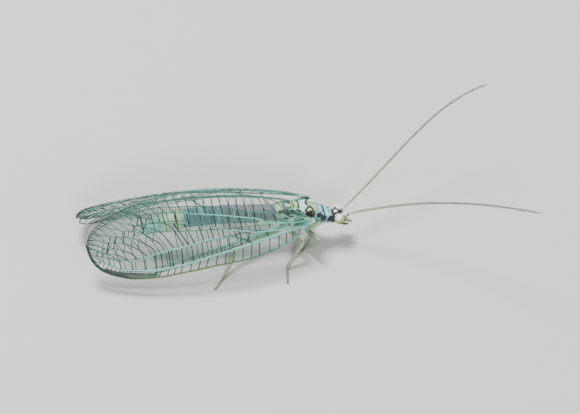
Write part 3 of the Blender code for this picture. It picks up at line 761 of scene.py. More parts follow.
def metathorax_shapes():
    """The rear of the thorax: its core, swellings, and the hind wings' bases."""
    core = (
        (-0.85, -0.02, 0.45, 0.44), (-1.0, -0.01, 0.53, 0.49), (-1.25, 0.0, 0.55, 0.50),
        (-1.6, 0.0, 0.53, 0.49), (-1.85, 0.0, 0.45, 0.44), (-2.0, 0.0, 0.38, 0.40))
    return [
        barrel(core, 48),
        *pair((-1.16, 0.27, 0.32), (0.28, 0.22, 0.22), turn=-8),
        egg((-1.22, 0, 0.34), (0.22, 0.12, 0.18)),
        egg((-1.56, 0, 0.34), (0.19, 0.22, 0.19)),
        *pair((-1.10, 0.42, -0.20), (0.20, 0.16, 0.30), tilt=16),
        *pair((-1.45, 0.42, -0.20), (0.20, 0.15, 0.28), tilt=16),
        *pair((-1.22, 0.30, -0.46), (0.24, 0.19, 0.20)),
        *pair((-1.12, 0.64, -0.02), (0.20, 0.20, 0.10)),
        *pair((-1.08, 0.76, -0.10), (0.14, 0.12, 0.09)),
        egg((-1.20, 0.84, -0.08), (0.17, 0.20, 0.10)),
    ]


def head_shapes():
    """Crown, back of the head, brow, feeler sockets, face, cheeks and the eyes' sockets."""
    x, y, z = HEAD_MIDDLE
    return [
        egg((x - 0.02, y, z), (0.28, 0.40, 0.41)),
        egg((x - 0.06, y, z + 0.19), (0.25, 0.27, 0.22)),
        egg((x - 0.15, y, z + 0.05), (0.20, 0.34, 0.36)),
        egg((x + 0.17, y, z + 0.02), (0.15, 0.24, 0.28)),
        *pair((x + 0.19, 0.16, z + 0.18), (0.12, 0.11, 0.11)),
        egg((x + 0.17, y, z - 0.25), (0.15, 0.22, 0.17)),
        egg((x + 0.20, y, z - 0.42), (0.12, 0.18, 0.12)),
        *pair((x + 0.05, 0.24, z - 0.27), (0.19, 0.13, 0.19)),
        *pair((EYE_MIDDLE[0], 0.33, EYE_MIDDLE[2]), (0.30, 0.19, 0.345), tilt=EYE_TILT),
    ]


# Dark lines on the skin: half width, and the places they run through, sideways counted out from the
# middle. They are the same on both sides, apart from two lines of the head.
HEAD_LINES = (
    (0.086, ((1.50, 0.0, -0.30), (1.52, 0.09, -0.30), (1.58, 0.14, -0.29), (1.66, 0.155, -0.27),
             (1.75, 0.14, -0.26), (1.83, 0.11, -0.25), (1.89, 0.06, -0.23), (1.92, 0.0, -0.22))),
    (0.092, ((1.92, 0.0, -0.22), (2.07, 0.02, -0.33), (2.16, 0.0, -0.50))),
    (0.074, ((2.07, 0.03, -0.33), (2.12, 0.16, -0.36), (2.13, 0.28, -0.34), (2.15, 0.37, -0.48))),
    (0.030, ((2.16, 0.06, -0.52), (2.13, 0.20, -0.56), (2.08, 0.28, -0.60))),
    (0.034, ((2.10, 0.24, -0.62), (2.04, 0.30, -0.72), (2.04, 0.28, -0.86))),
    (0.034, ((2.22, 0.0, -0.80), (2.18, 0.14, -0.86), (2.10, 0.20, -0.98))),
)
HEAD_RIGHT_LINES = (
    (0.066, ((2.05, 0.03, -0.33), (1.97, 0.11, -0.29), (1.88, 0.24, -0.26), (1.84, 0.34, -0.24),
             (1.86, 0.42, -0.32))),
)
HEAD_LEFT_LINES = (
    (0.075, ((1.50, 0.06, -0.30), (1.60, 0.20, -0.30), (1.74, 0.19, -0.26), (1.86, 0.12, -0.23),
             (1.95, 0.04, -0.24))),
)
THORAX_LINES = (
    (0.055, ((0.98, 0.0, -0.02), (0.93, 0.09, 0.01), (0.89, 0.24, 0.0))),
    (0.048, ((0.96, 0.24, -0.03), (0.98, 0.31, -0.08), (0.99, 0.40, -0.15))),
    (0.030, ((1.24, 0.10, -0.10), (1.26, 0.22, -0.13))),
    (0.026, ((0.66, 0.06, 0.08), (0.68, 0.20, 0.07), (0.72, 0.32, 0.02))),
    (0.040, ((0.73, 0.47, -0.41), (0.86, 0.47, -0.30))),
    (0.064, ((-0.20, 0.0, 0.58), (-0.08, 0.19, 0.56), (0.06, 0.35, 0.60), (0.12, 0.43, 0.55))),
    (0.064, ((0.06, 0.35, 0.60), (-0.10, 0.41, 0.60), (-0.18, 0.46, 0.59), (-0.26, 0.53, 0.48))),
    (0.040, ((0.36, 0.0, 0.45), (0.16, 0.0, 0.56), (-0.16, 0.0, 0.60))),
    (0.060, ((0.12, 0.43, 0.55), (0.20, 0.48, 0.42), (0.27, 0.50, 0.30), (0.34, 0.52, 0.14))),
    (0.056, ((-0.63, 0.0, 0.64), (-0.62, 0.14, 0.60), (-0.62, 0.30, 0.50))),
    (0.044, ((-0.88, 0.0, 0.50), (-0.92, 0.24, 0.46), (-0.95, 0.44, 0.36))),
    (0.050, ((-1.04, 0.08, 0.50), (-1.14, 0.22, 0.54), (-1.34, 0.34, 0.44))),
    (0.034, ((-1.40, 0.0, 0.50), (-1.42, 0.20, 0.46), (-1.38, 0.40, 0.34))),
    (0.028, ((0.12, 0.66, -0.10), (0.02, 0.70, -0.40), (-0.06, 0.60, -0.66))),
    (0.028, ((-0.40, 0.66, -0.10), (-0.42, 0.68, -0.40), (-0.44, 0.56, -0.60))),
    (0.026, ((-1.28, 0.54, -0.10), (-1.28, 0.56, -0.36), (-1.26, 0.46, -0.56))),
)
LINE_STEP = 0.02
LINE_EDGE = (0.75, 1.2)     # a line fades out between these multiples of its half width

# Coloured patches: colour, middle, half sizes, laid over each other in this order on both sides
PATCHES = (
    ("cream", (0.28, 0.26, 0.46), (0.26, 0.40, 0.34)),
    ("white", (0.02, 0.08, 0.60), (0.20, 0.24, 0.20)),
    ("bone", (-0.03, 0.49, 0.56), (0.15, 0.12, 0.16)),
    ("white", (-0.38, 0.22, 0.56), (0.25, 0.40, 0.26)),
    ("mint", (-0.30, 0.36, 0.50), (0.10, 0.10, 0.14)),
    ("lime", (-0.80, 0.12, 0.52), (0.20, 0.28, 0.20)),
    ("white", (-0.94, 0.26, 0.46), (0.12, 0.12, 0.14)),
    ("cream", (-1.02, 0.10, 0.48), (0.14, 0.14, 0.20)),
    ("lime", (-1.55, 0.06, 0.48), (0.16, 0.24, 0.22)),
    ("teal", (-1.20, 0.26, 0.50), (0.20, 0.14, 0.20)),
    ("brown", (-0.02, 0.66, 0.28), (0.31, 0.24, 0.27)),
    ("brown", (0.20, 0.66, 0.10), (0.17, 0.24, 0.17)),
    ("brown", (-0.84, 0.45, 0.38), (0.38, 0.14, 0.20)),
    ("brown", (-0.60, 0.60, 0.26), (0.28, 0.16, 0.16)),
    ("brown", (-1.24, 0.47, 0.36), (0.34, 0.15, 0.20)),
    ("brown", (-1.66, 0.36, 0.36), (0.22, 0.12, 0.16)),
    # White spot at the tip of the wing's hinge: a painted highlight.
    ("white", (0.20, 1.0, -0.04), (0.09, 0.08, 0.08)),
    ("brown", (-0.32, 0.66, -0.02), (0.26, 0.14, 0.15)),
    ("brown", (-0.02, 0.84, 0.02), (0.20, 0.10, 0.08)),
    ("brown", (-1.20, 0.56, 0.04), (0.30, 0.16, 0.14)),
    ("dusk", (-0.10, 0.60, -0.46), (0.24, 0.18, 0.12)),
    ("dusk", (-1.30, 0.46, -0.40), (0.26, 0.16, 0.12)),
    ("brown", (0.62, 0.42, -0.12), (0.24, 0.17, 0.20)),
    ("brown", (0.93, 0.48, -0.29), (0.22, 0.15, 0.23)),
    ("black", (1.36, 0.41, -0.41), (0.21, 0.15, 0.18)),
    ("black", (1.22, 0.49, -0.50), (0.11, 0.10, 0.14)),
    ("black", (1.58, 0.26, -0.50), (0.13, 0.16, 0.20)),
    ("white", (0.70, 0.18, 0.07), (0.09, 0.10, 0.10)),
    ("white", (1.16, 0.27, -0.12), (0.12, 0.08, 0.10)),
    ("teal", (1.22, 0.14, -0.08), (0.06, 0.04, 0.10)),
    # Black under the neck: painted shadow.
    ("black", (1.60, 0.18, -0.84), (0.23, 0.28, 0.26)),
    # Dark grey between the crown's ring and the eye: painted shade.
    ("dusk", (1.74, 0.31, -0.25), (0.13, 0.065, 0.12)),
    ("black", (1.98, 0.0, -0.27), (0.12, 0.09, 0.12)),
    ("bright", (1.71, 0.0, -0.23), (0.15, 0.12, 0.14)),
    ("bright", (1.98, 0.26, -0.26), (0.10, 0.13, 0.12)),
)
# More of them on the left side alone, where that wing's base lies against the thorax
LEFT_PATCHES = (
    ("teal", (-1.10, 0.38, 0.42), (0.42, 0.13, 0.22)),
    ("teal", (-0.46, 0.43, 0.45), (0.32, 0.16, 0.22)),
    ("dusk", (-0.08, 0.34, 0.56), (0.34, 0.10, 0.17)),
    ("white", (-0.14, 0.52, 0.52), (0.10, 0.08, 0.12)),
)
# Narrow pale bands across the abdomen: share of its length, half width as such a share
SKY_BANDS = ((0.10, 0.008), (0.215, 0.008), (0.325, 0.008), (0.440, 0.018), (0.572, 0.018))


def marks_middle(x):
    """Where the middle of the marks runs: a little to the right on the head."""
    return HEAD_ASIDE * blend(1.45, 1.6, x)


def marked(points, lines, sides):
    """1 on dark lines drawn on the skin, with soft edges. Each line is laid on the nearest skin."""
    mark = np.zeros(len(points))
    waver = 0.005 * np.sin(31 * points[:, 0]) * np.sin(27 * points[:, 2] + 2)
    room = 0.2
    for half_width, line in lines:
        edge = [half_width * part for part in LINE_EDGE]
        for side in sides:
            track = spaced(line, 2 + int(length_along(line)[-1] / LINE_STEP))
            track[:, 1] = marks_middle(track[:, 0]) + side * track[:, 1]
            near = ((points > track.min(axis=0) - room) & (points < track.max(axis=0) + room)).all(axis=1)
            skin = points[near]
            apart = np.linalg.norm(skin[None, :, :] - track[:, None, :], axis=2)
            laid = skin[apart.argmin(axis=1)]
            laid[1:-1] = (laid[:-2] + 2 * laid[1:-1] + laid[2:]) / 4
            away = np.linalg.norm(skin[None, :, :] - laid[:, None, :], axis=2).min(axis=0)
            mark[near] = np.maximum(mark[near], 1 - blend(*edge, away + waver[near]))
    return mark


COLOURS = {
    "bone": (0.78, 0.84, 0.72),
    "bright": (0.95, 1.0, 0.96),
    "white": (0.72, 0.96, 0.83),
    "lime": (0.46, 0.74, 0.30),
    "cream": (0.60, 0.76, 0.42),
    "sky": (0.26, 0.60, 0.74),
    "turquoise": (0.22, 0.62, 0.60),
    "mint": (0.16, 0.47, 0.37),
    "teal": (0.045, 0.20, 0.17),
    "mauve": (0.19, 0.18, 0.235),
    "rose": (0.31, 0.215, 0.25),
    "slate": (0.105, 0.165, 0.23),
    "black": (0.010, 0.009, 0.009),
    "brown": (0.028, 0.021, 0.021),
    "ink": (0.006, 0.008, 0.008),
    "pine": (0.06, 0.17, 0.13),
    "olive": (0.09, 0.14, 0.055),
    "dusk": (0.014, 0.030, 0.028),
    "ice": (0.24, 0.55, 0.50),
}


def ramp(names, steps):
    """Colours for steps from 0 to 1, from one name to the next, all evenly spaced."""
    names = (names,) if isinstance(names, str) else names
    stops = np.linspace(0, 1, len(names)) if len(names) > 1 else np.zeros(1)
    table = np.array([COLOURS[n] for n in names])
    return np.stack([np.interp(steps, stops, table[:, k]) for k in range(3)], axis=-1)


def toward(rgb, name, share):
    """Colours moved towards a named one by a share for each point."""
    share = np.asarray(share)[:, None]
    return rgb * (1 - share) + np.array(COLOURS[name]) * share


def front_tint(points, waver):
    """Head and thorax: pale ground colours, darker low on the sides, and the patches."""
    x, y, z = points.T
    folded = np.stack([x, np.abs(y - marks_middle(x)), z], axis=1)
    rgb = np.tile(COLOURS["bone"], (len(points), 1))
    rgb = toward(rgb, "sky", blend(1.52, 1.44, x) * blend(0.44, 0.54, x) * 0.9)
    rgb = toward(rgb, "bright", blend(1.56, 1.64, x) * blend(-0.96, -0.84, z) * 0.9)
    rgb = toward(rgb, "olive", blend(2.04, 2.12, x) * blend(-0.76, -0.84, z) * 0.8)
    rgb = toward(rgb, "mint", blend(0.56, 0.48, x) * 0.55)
    low_side = blend(0.08, -0.16, z - np.where(x > 0.5, -0.42, 0.0))
    rgb = toward(rgb, "teal", low_side * (x < HEAD_BACK) * 0.8)
    for on, patches in ((folded, PATCHES), (points, LEFT_PATCHES)):
        for colour, place, half in patches:
            away = np.linalg.norm((on - place) / half, axis=1)
            rgb = toward(rgb, colour, 0.96 * (1 - blend(0.82, 1.02, away + 0.10 * waver)))
    return rgb


def abdomen_share(x):
    return np.clip((ABDOMEN_FRONT - x) / ABDOMEN_LENGTH, 0, 1)


def abdomen_tint(points, normals, waver):
    """Mauve and rose in front, slate blue in the middle, cream and turquoise behind, with thin bands."""
    x, y, z = points.T
    share = abdomen_share(x)
    flank = blend(0.2, 0.6, np.abs(y) / 0.5)
    rgb = np.tile(COLOURS["mauve"], (len(points), 1))
    rgb = toward(rgb, "rose", 0.8 * blend(0.05, 0.2, share) * blend(0.42, 0.3, share) * (1 - flank))
    rgb = toward(rgb, "slate", 0.75 * blend(0.43, 0.50, share))
    for place, half_width in SKY_BANDS:
        rgb = toward(rgb, "sky", 0.85 * blend(half_width, half_width * 0.5, np.abs(share - place)))
    rgb = toward(rgb, "sky", 0.5 * blend(0.64, 0.70, share + 0.010 * waver))
    rgb = toward(rgb, "cream", 0.9 * blend(0.685, 0.745, share + 0.014 * waver))
    rgb = toward(rgb, "turquoise", blend(0.85, 0.89, share + 0.012 * waver))
    speckle = np.sin(47 * x + 5 * np.sin(21 * y)) * np.sin(43 * y + 6 * np.sin(17 * x))
    rgb = toward(rgb, "white", 0.9 * blend(0.25, 0.6, speckle) * blend(0.86, 0.9, share))
    # Pale bloom specks, drawn only where the skin faces up, so they are also a painted highlight.
    bloom_and_highlight = blend(0.55, 0.85, normals[:, 2]) * (speckle > 0)
    rgb = toward(rgb, "white", 0.7 * bloom_and_highlight * blend(0.72, 0.78, share))
    height = z - smooth(ABDOMEN_RISE, share)
    rgb = toward(rgb, "mint", 0.5 * blend(-0.1, -0.25, height) * blend(0.6, 0.5, share))
    # A dark line low along each side: painted shadow at the abdomen's lower edge.
    rgb = toward(rgb, "brown", 0.9 * blend(0.06, 0.03, np.abs(height + 0.30)) * blend(0.97, 0.90, share))
    edge = (share * ABDOMEN_SEGMENTS) % 1.0
    ring = blend(0.055, 0.02, np.minimum(edge, 1 - edge))
    rgb = toward(rgb, "brown", 0.45 * ring)
    tick = ring * blend(0.10, 0.05, np.abs(np.abs(y) - 0.16)) * blend(0.55, 0.62, share)
    return toward(rgb, "black", 0.9 * tick)


def body_tint(points, normals):
    """The insect's markings, worked out from places on the body."""
    x, y, z = points.T
    waver = np.sin(23 * x) * np.sin(19 * z + 2) + 0.5 * np.sin(41 * x + 3) * np.sin(37 * y)
    on_abdomen = blend(ABDOMEN_FRONT + 0.12, ABDOMEN_FRONT - 0.05, x)
    front, rear = front_tint(points, waver), abdomen_tint(points, normals, waver)
    rgb = front * (1 - on_abdomen[:, None]) + rear * on_abdomen[:, None]
    lines = np.maximum.reduce([
        marked(points, HEAD_LINES + THORAX_LINES, (RIGHT, LEFT)),
        marked(points, HEAD_RIGHT_LINES, (RIGHT,)),
        marked(points, HEAD_LEFT_LINES, (LEFT,)),
    ])
    return toward(rgb, "black", 0.97 * lines * (1 - on_abdomen))


def relief(points):
    """Fine swellings and wrinkles of the skin and a fold along the abdomen's sides, as a distance out."""
    x, y, z = points.T
    wrinkle = np.sin(61 * x + 9 * np.sin(11 * y)) * np.sin(53 * z + 7 * np.sin(9 * x))
    share = abdomen_share(x)
    fold = blend(0.12, 0.0, np.abs(z - smooth(ABDOMEN_RISE, share) + 0.02)) * blend(-2.0, -2.4, x)
    return 0.0022 * wrinkle - 0.028 * fold * (1 - blend(0.93, 1.0, share))


def body():
    """Head, thorax and abdomen as one skin, and the down on it."""
    parts = (head_shapes, prothorax_shapes, mesothorax_shapes, metathorax_shapes, abdomen_shapes)
    skin = skin_over([shape for part in parts for shape in part()])
    skin.points += normals_of(skin) * relief(skin.points)[:, None]
    normals = normals_of(skin)
    rgb = body_tint(skin.points, normals)
    skin.tags = {"red": rgb[:, 0], "green": rgb[:, 1], "blue": rgb[:, 2]}
    nodes = ("head", "prothorax", "mesothorax", "metathorax", "abdomen")
    piece("body_skin", skin, skin_paint("body_skin"), nodes)
    down = body_hairs(skin, normals, rgb)
    piece("body_hair", down, horn_paint("body_hair", HAIR_ROUGHNESS), nodes)


def body_hairs(skin, normals, rgb):
    """Fine pale down: long on the thorax, short and leaning back on the abdomen, sparse on the head."""
    x, y, z = skin.points.T
    thorax = (x < HEAD_BACK) & (x > ABDOMEN_FRONT)
    folded = np.stack([x, np.abs(y), z], axis=1)
    bare = np.linalg.norm((folded - EYE_MIDDLE) / (0.36, 0.40, 0.40), axis=1) < 1
    weight = np.where(thorax, 2.0, np.where(x > HEAD_BACK, 0.8, 1.1)) * ~bare
    chosen = CHANCE.choice(len(x), BODY_HAIRS, replace=False, p=weight / weight.sum())
    roots = skin.points[chosen]
    x, y, z = roots.T
    length = np.where(x > HEAD_BACK, HEAD_HAIR, np.where(x > ABDOMEN_FRONT, THORAX_HAIR, ABDOMEN_HAIR))
    length = np.where((np.abs(z) > 0.3) & (x < HEAD_BACK) & (x > ABDOMEN_FRONT), FLANK_HAIR, length)
    lean = np.where(x > HEAD_BACK, 0.3, -0.8)
    ways = normals[chosen] + np.stack([lean, 0 * lean, 0 * lean], axis=1)
    ways += CHANCE.normal(0, 0.15, (len(x), 3))
    low, high = skin.points[:, 0].min(), skin.points[:, 0].max()
    v = 0.5 + 0.48 * np.arctan2(y, z - smooth(BODY_AXIS, x)) / math.pi
    pale = toward(rgb[chosen], "mint", np.full(len(x), 0.12))
    return hairs(roots, ways, length, BODY_HAIR_RADIUS, inset((x - low) / (high - low)), v, pale)


def eye(side, paint):
    """A dome of small facets on the side of the head."""
    polar = np.linspace(0.02, EYE_REACH, EYE_GRID[0])[:, None]
    around = np.linspace(0, 2 * math.pi, EYE_GRID[1], endpoint=False)[None, :]
    ring = polar / EYE_REACH * EYE_FACET_ROWS
    shift = 0.5 * (np.floor(ring) % 2)
    facets = 2 * math.pi * np.sin(polar) * EYE_FACET_ROWS * EYE_FACETS_ROUND
    across = around / (2 * math.pi) * np.maximum(6, np.round(facets))
    dome = np.sin(math.pi * (ring % 1)) * np.abs(np.sin(math.pi * (across + shift)))
    size = 1 + EYE_FACET_SWELL * dome
    ways = (np.sin(polar) * np.cos(around), np.cos(polar) + 0 * around, np.sin(polar) * np.sin(around))
    x, y, z = (way * size * half for way, half in zip(ways, EYE_HALF))
    x, z = turned(x, z, EYE_TILT)
    points, faces = capped(np.stack([x, y, z], axis=-1), [(0, EYE_HALF[1], 0), (0, y[-1, -1], 0)])
    points = points * (1, side, 1) + np.array(EYE_MIDDLE) * (1, side, 1)
    if side == RIGHT:
        faces = [f[:, ::-1] for f in faces]
    name = f"eye_{SIDE_NAMES[side]}"
    piece(f"{name}_facets", Shape(points, faces), paint, (name,))


def palp(path, side, radius, joints, dark):
    """A chain of short swollen joints. Its path counts from the head's middle, for the left side."""
    places = curve_through((np.array(path) + HEAD_MIDDLE) * (1, side, 1), joints + 1)
    steps = np.linspace(0, 1, 7)
    swell = 0.62 + 0.38 * np.sin(math.pi * steps) ** 0.7
    return [
        tube(a + (b - a) * steps[:, None], radius * size * swell, 12, dark=dark)
        for a, b, size in zip(places, places[1:], np.linspace(1, 0.7, joints))
    ]


def mouthparts():
    """Upper lip, jaws and lower lip below the face, and two pairs of palps."""
    x, _, z = HEAD_MIDDLE
    shapes = [
        egg((x + 0.38, 0, z - 0.24), (0.23, 0.22, 0.22), tilt=-20, dark=0.55),
        egg((x + 0.36, 0, z - 0.43), (0.22, 0.22, 0.19), tilt=-20, dark=0.7),
        egg((x + 0.28, 0, z - 0.54), (0.09, 0.15, 0.10), tilt=-20, dark=0.25),
        *pair((x + 0.22, 0.12, z - 0.56), (0.10, 0.07, 0.13), tilt=-15, dark=0.6),
        egg((x + 0.12, 0, z - 0.60), (0.12, 0.12, 0.10), dark=0.5),
    ]
    for side in (RIGHT, LEFT):
        shapes += palp(UPPER_PALP, side, 0.115, 6, 0.55)
        shapes += palp(LOWER_PALP, side, 0.09, 4, 0.9)
    paint = marked_paint("mouth_horn", (0.42, 0.42, 0.22), (0.045, 0.05, 0.025))
    piece("mouth", joined(shapes), paint, ("mouthparts",))


# Feelers


def whip(route):
    """Places along the beaded part of a feeler, and how far along the whole each lies, as a share."""
    along = length_along(route)
    first = along[-1] * FEELER_START
    beads = np.linspace(0, 1, FEELER_BEADS * len(BEAD_SWELL), endpoint=False)
    distances = first + (along[-1] - first) * beads
    return between(distances, along, route), distances / along[-1]


def feeler(side, paint):
    """A pale bulbous first joint, a collar, and a whip of many short beads."""
    route = curve_through(FEELER_LEFT if side == LEFT else FEELER_RIGHT, 400)
    socket = np.array(HEAD_MIDDLE) + np.array(FEELER_SOCKET) * (1, side, 1)
    knob = spaced([socket, route[0] + (route[6] - route[0]) * 0.4], len(KNOB_RADII))
    ahead = unit(route[20] - route[8])
    collar = spaced([knob[-2], knob[-2] + ahead * COLLAR_LENGTH], len(COLLAR_RADII))
    path, share = whip(route)
    radii = (FEELER_RADIUS - FEELER_TAPER * share) * np.tile(BEAD_SWELL, FEELER_BEADS)
    shapes = [
        tube(knob, KNOB_RADII, 20, dark=KNOB_DARK, far=0.0),
        tube(collar, COLLAR_RADII, 18, dark=0.55, far=0.0),
        tube(path, radii, 12, dark=np.tile(BEAD_DARK, FEELER_BEADS), far=share),
    ]
    node = (f"antenna_{SIDE_NAMES[side]}",)
    piece(f"feeler_{SIDE_NAMES[side]}", joined(shapes), paint, node)
    coat = joined([
        hairs_round(path, radii, FEELER_HAIRS, FEELER_HAIR, FEELER_HAIR_TINT, 1.2, 0, 2),
        hairs_round(knob, KNOB_RADII, KNOB_HAIRS, KNOB_HAIR, COLOURS["cream"], 0.8, 1, 2, KNOB_HAIR_RADIUS),
    ])
    piece(f"feeler_{SIDE_NAMES[side]}_hair", coat, horn_paint("feeler_hair", HAIR_ROUGHNESS), node)


def feeler_paint():
    """Pale lilac knob, then beige that turns greyer along the whip, with darker joints."""
    paint = Paint("feeler_horn", Roughness=0.5, Specular_IOR_Level=0.4)
    far = paint.tag("far").outputs["Fac"]
    base = paint.mix(paint.spread(far, 0.0, 0.03), (0.66, 0.64, 0.72), (0.40, 0.35, 0.23))
    colour = paint.mix(paint.spread(far, 0.0, 0.55), base, (0.22, 0.21, 0.17))
    paint.set("Base Color", paint.mix(paint.tag("dark").outputs["Fac"], colour, (0.03, 0.028, 0.024)))
    return paint.material


# Legs


class Leg:
    """The skin and the coat of hairs of one leg, joint by joint from the hip."""

    def __init__(self, which, side):
        self.joints = [np.array((x, side * y, z)) for x, y, z in LEGS[which]]
        self.skin, self.coat = [], []

    def limb(self, start, end, radii, sides, shade, number, hair, lean=0.9, bow=0.0):
        """A haired tube from start to end. Its middle stands up by bow."""
        step = np.linspace(0, 1, len(radii))[:, None]
        path = start + (end - start) * step + np.array((0, 0, bow)) * np.sin(math.pi * step)
        self.skin.append(tube(path, radii, sides, shade=shade))
        row = len(self.coat)
        self.coat.append(hairs_round(path, radii, number, hair, LEG_HAIR_TINT, lean, row, LEG_STRIPS))

    def upper(self):
        """Hip joint, thigh and shin, with a ball at each bend."""
        hip, joint, knee, ankle, _ = self.joints
        step = np.linspace(0, 1, 12)
        self.limb(hip, joint, HIP_RADIUS - HIP_TAPER * step**1.5, 20, 0.0, HIP_HAIRS, HIP_HAIR)
        self.skin.append(egg(joint, (0.105, 0.105, 0.10), shade=0.15))
        step = np.linspace(0, 1, 26)
        number = int(THIGH_HAIRS * np.linalg.norm(knee - joint))
        shade = 0.5 * blend(0.9, 1.0, step)
        self.limb(joint, knee, smooth(THIGH, step), 18, shade, number, THIGH_HAIR, bow=THIGH_BOW)
        self.skin.append(egg(knee, (0.082, 0.082, 0.082), shade=0.7))
        number = int(SHIN_HAIRS * np.linalg.norm(ankle - knee))
        shade = 0.25 * blend(0.85, 1.0, step)
        self.limb(knee, ankle, smooth(SHIN, step), 18, shade, number, SHIN_HAIR, lean=1.1, bow=SHIN_BOW)

    def spurs(self):
        """Two short spurs at the shin's end, kept above the floor."""
        *_, knee, ankle, _ = self.joints
        down = unit(ankle - knee)
        beside = unit(np.cross(down, (0, 0, 1.0)))
        for turn in (-1, 1):
            spur = ankle + down * np.array([[-0.05], [0.05], [0.13]])
            spur = spur + beside * turn * np.array([[0.05], [0.09], [0.10]])
            spur[:, 2] = np.maximum(spur[:, 2], FLOOR + 0.02)
            self.skin.append(tube(spur, (0.018, 0.012, 0.004), 8, shade=0.9))

    def foot(self):
        """Five short joints, each resting on the floor."""
        *_, ankle, toe = self.joints
        for start, end, radius in FOOT_JOINTS:
            a, b = ankle + (toe - ankle) * start, ankle + (toe - ankle) * end
            a[2] = b[2] = FLOOR + radius
            flare = radius * smooth(FOOT_FLARE, np.linspace(0, 1, 8))
            self.limb(a, b, flare, 12, 0.55, int(FOOT_HAIRS * np.linalg.norm(b - a)), FOOT_HAIR)

    def claws(self):
        """Two curved claws and a pad between them."""
        *_, ankle, toe = self.joints
        way = unit((toe - ankle) * (1, 1, 0))
        across = np.array((-way[1], way[0], 0))
        under = toe * (1, 1, 0) + (0, 0, FLOOR)
        for turn in (-1, 1):
            claw = curve_through([
                toe + way * 0.02 + across * turn * 0.02,
                toe + way * 0.085 + across * turn * 0.055 + (0, 0, 0.012),
                under + way * 0.15 + across * turn * 0.05 + (0, 0, 0.008)], 8)
            self.skin.append(tube(claw, np.linspace(0.018, 0.005, 8), 8, shade=1.0))
        pad = under + way * 0.07 + (0, 0, 0.02)
        self.skin.append(egg(pad, (0.045, 0.045, 0.02), rings=8, sides=12, shade=0.8))


def leg(which, side, paint):
    """One leg as two pieces, its skin and its hairs."""
    made = Leg(which, side)
    made.upper()
    made.spurs()
    made.foot()
    made.claws()
    name = f"{which}leg_{SIDE_NAMES[side]}"
    piece(f"{name}_skin", joined(made.skin), paint, (name,))
    coat = joined(made.coat)
    coat.points[:, 2] = np.maximum(coat.points[:, 2], FLOOR + 0.003)
    piece(f"{name}_hair", coat, horn_paint("leg_hair", HAIR_ROUGHNESS), (name,))


def leg_paint():
    """Pale grey green that darkens at the knees, feet and claws."""
    paint = Paint("leg_horn", Roughness=0.36, Specular_IOR_Level=0.5)
    where = paint.place()
    pale = paint.mix(paint.patches(where, 5.0), (0.36, 0.44, 0.29), (0.23, 0.31, 0.20))
    paint.set("Base Color", paint.mix(paint.tag("shade").outputs["Fac"], pale, (0.10, 0.09, 0.06)))
    paint.bump(paint.noise(where, 30.0, detail=2.0), 0.008)
    return paint.material


# Wings


def wing_place(side, share, forward, out):
    """Places on the roof surface: share of the length, distance to the front, distance out."""
    share, forward, out = np.broadcast_arrays(*(np.asarray(v, float) for v in (share, forward, out)))
    middle = 4 * share * (1 - share)
    at_root, at_tip = WING_SLOPES[side]
    slope = np.radians(at_root + (at_tip - at_root) * share + WING_SLOPE_SAG[side] * middle)
    out = out + WING_BOW[side] * middle - WING_CAMBER * (forward / WING_CAMBER_AT) ** 2
    start, *root = WING_ROOT[side]
    sideways, height = (r + (t - r) * share for r, t in zip(root, WING_TIP[side]))
    sideways = sideways + forward * np.cos(slope) + out * np.sin(slope)
    height = height - forward * np.sin(slope) + out * np.cos(slope)
    return np.stack([start - WING_LENGTH * share, side * sideways, height], axis=-1)


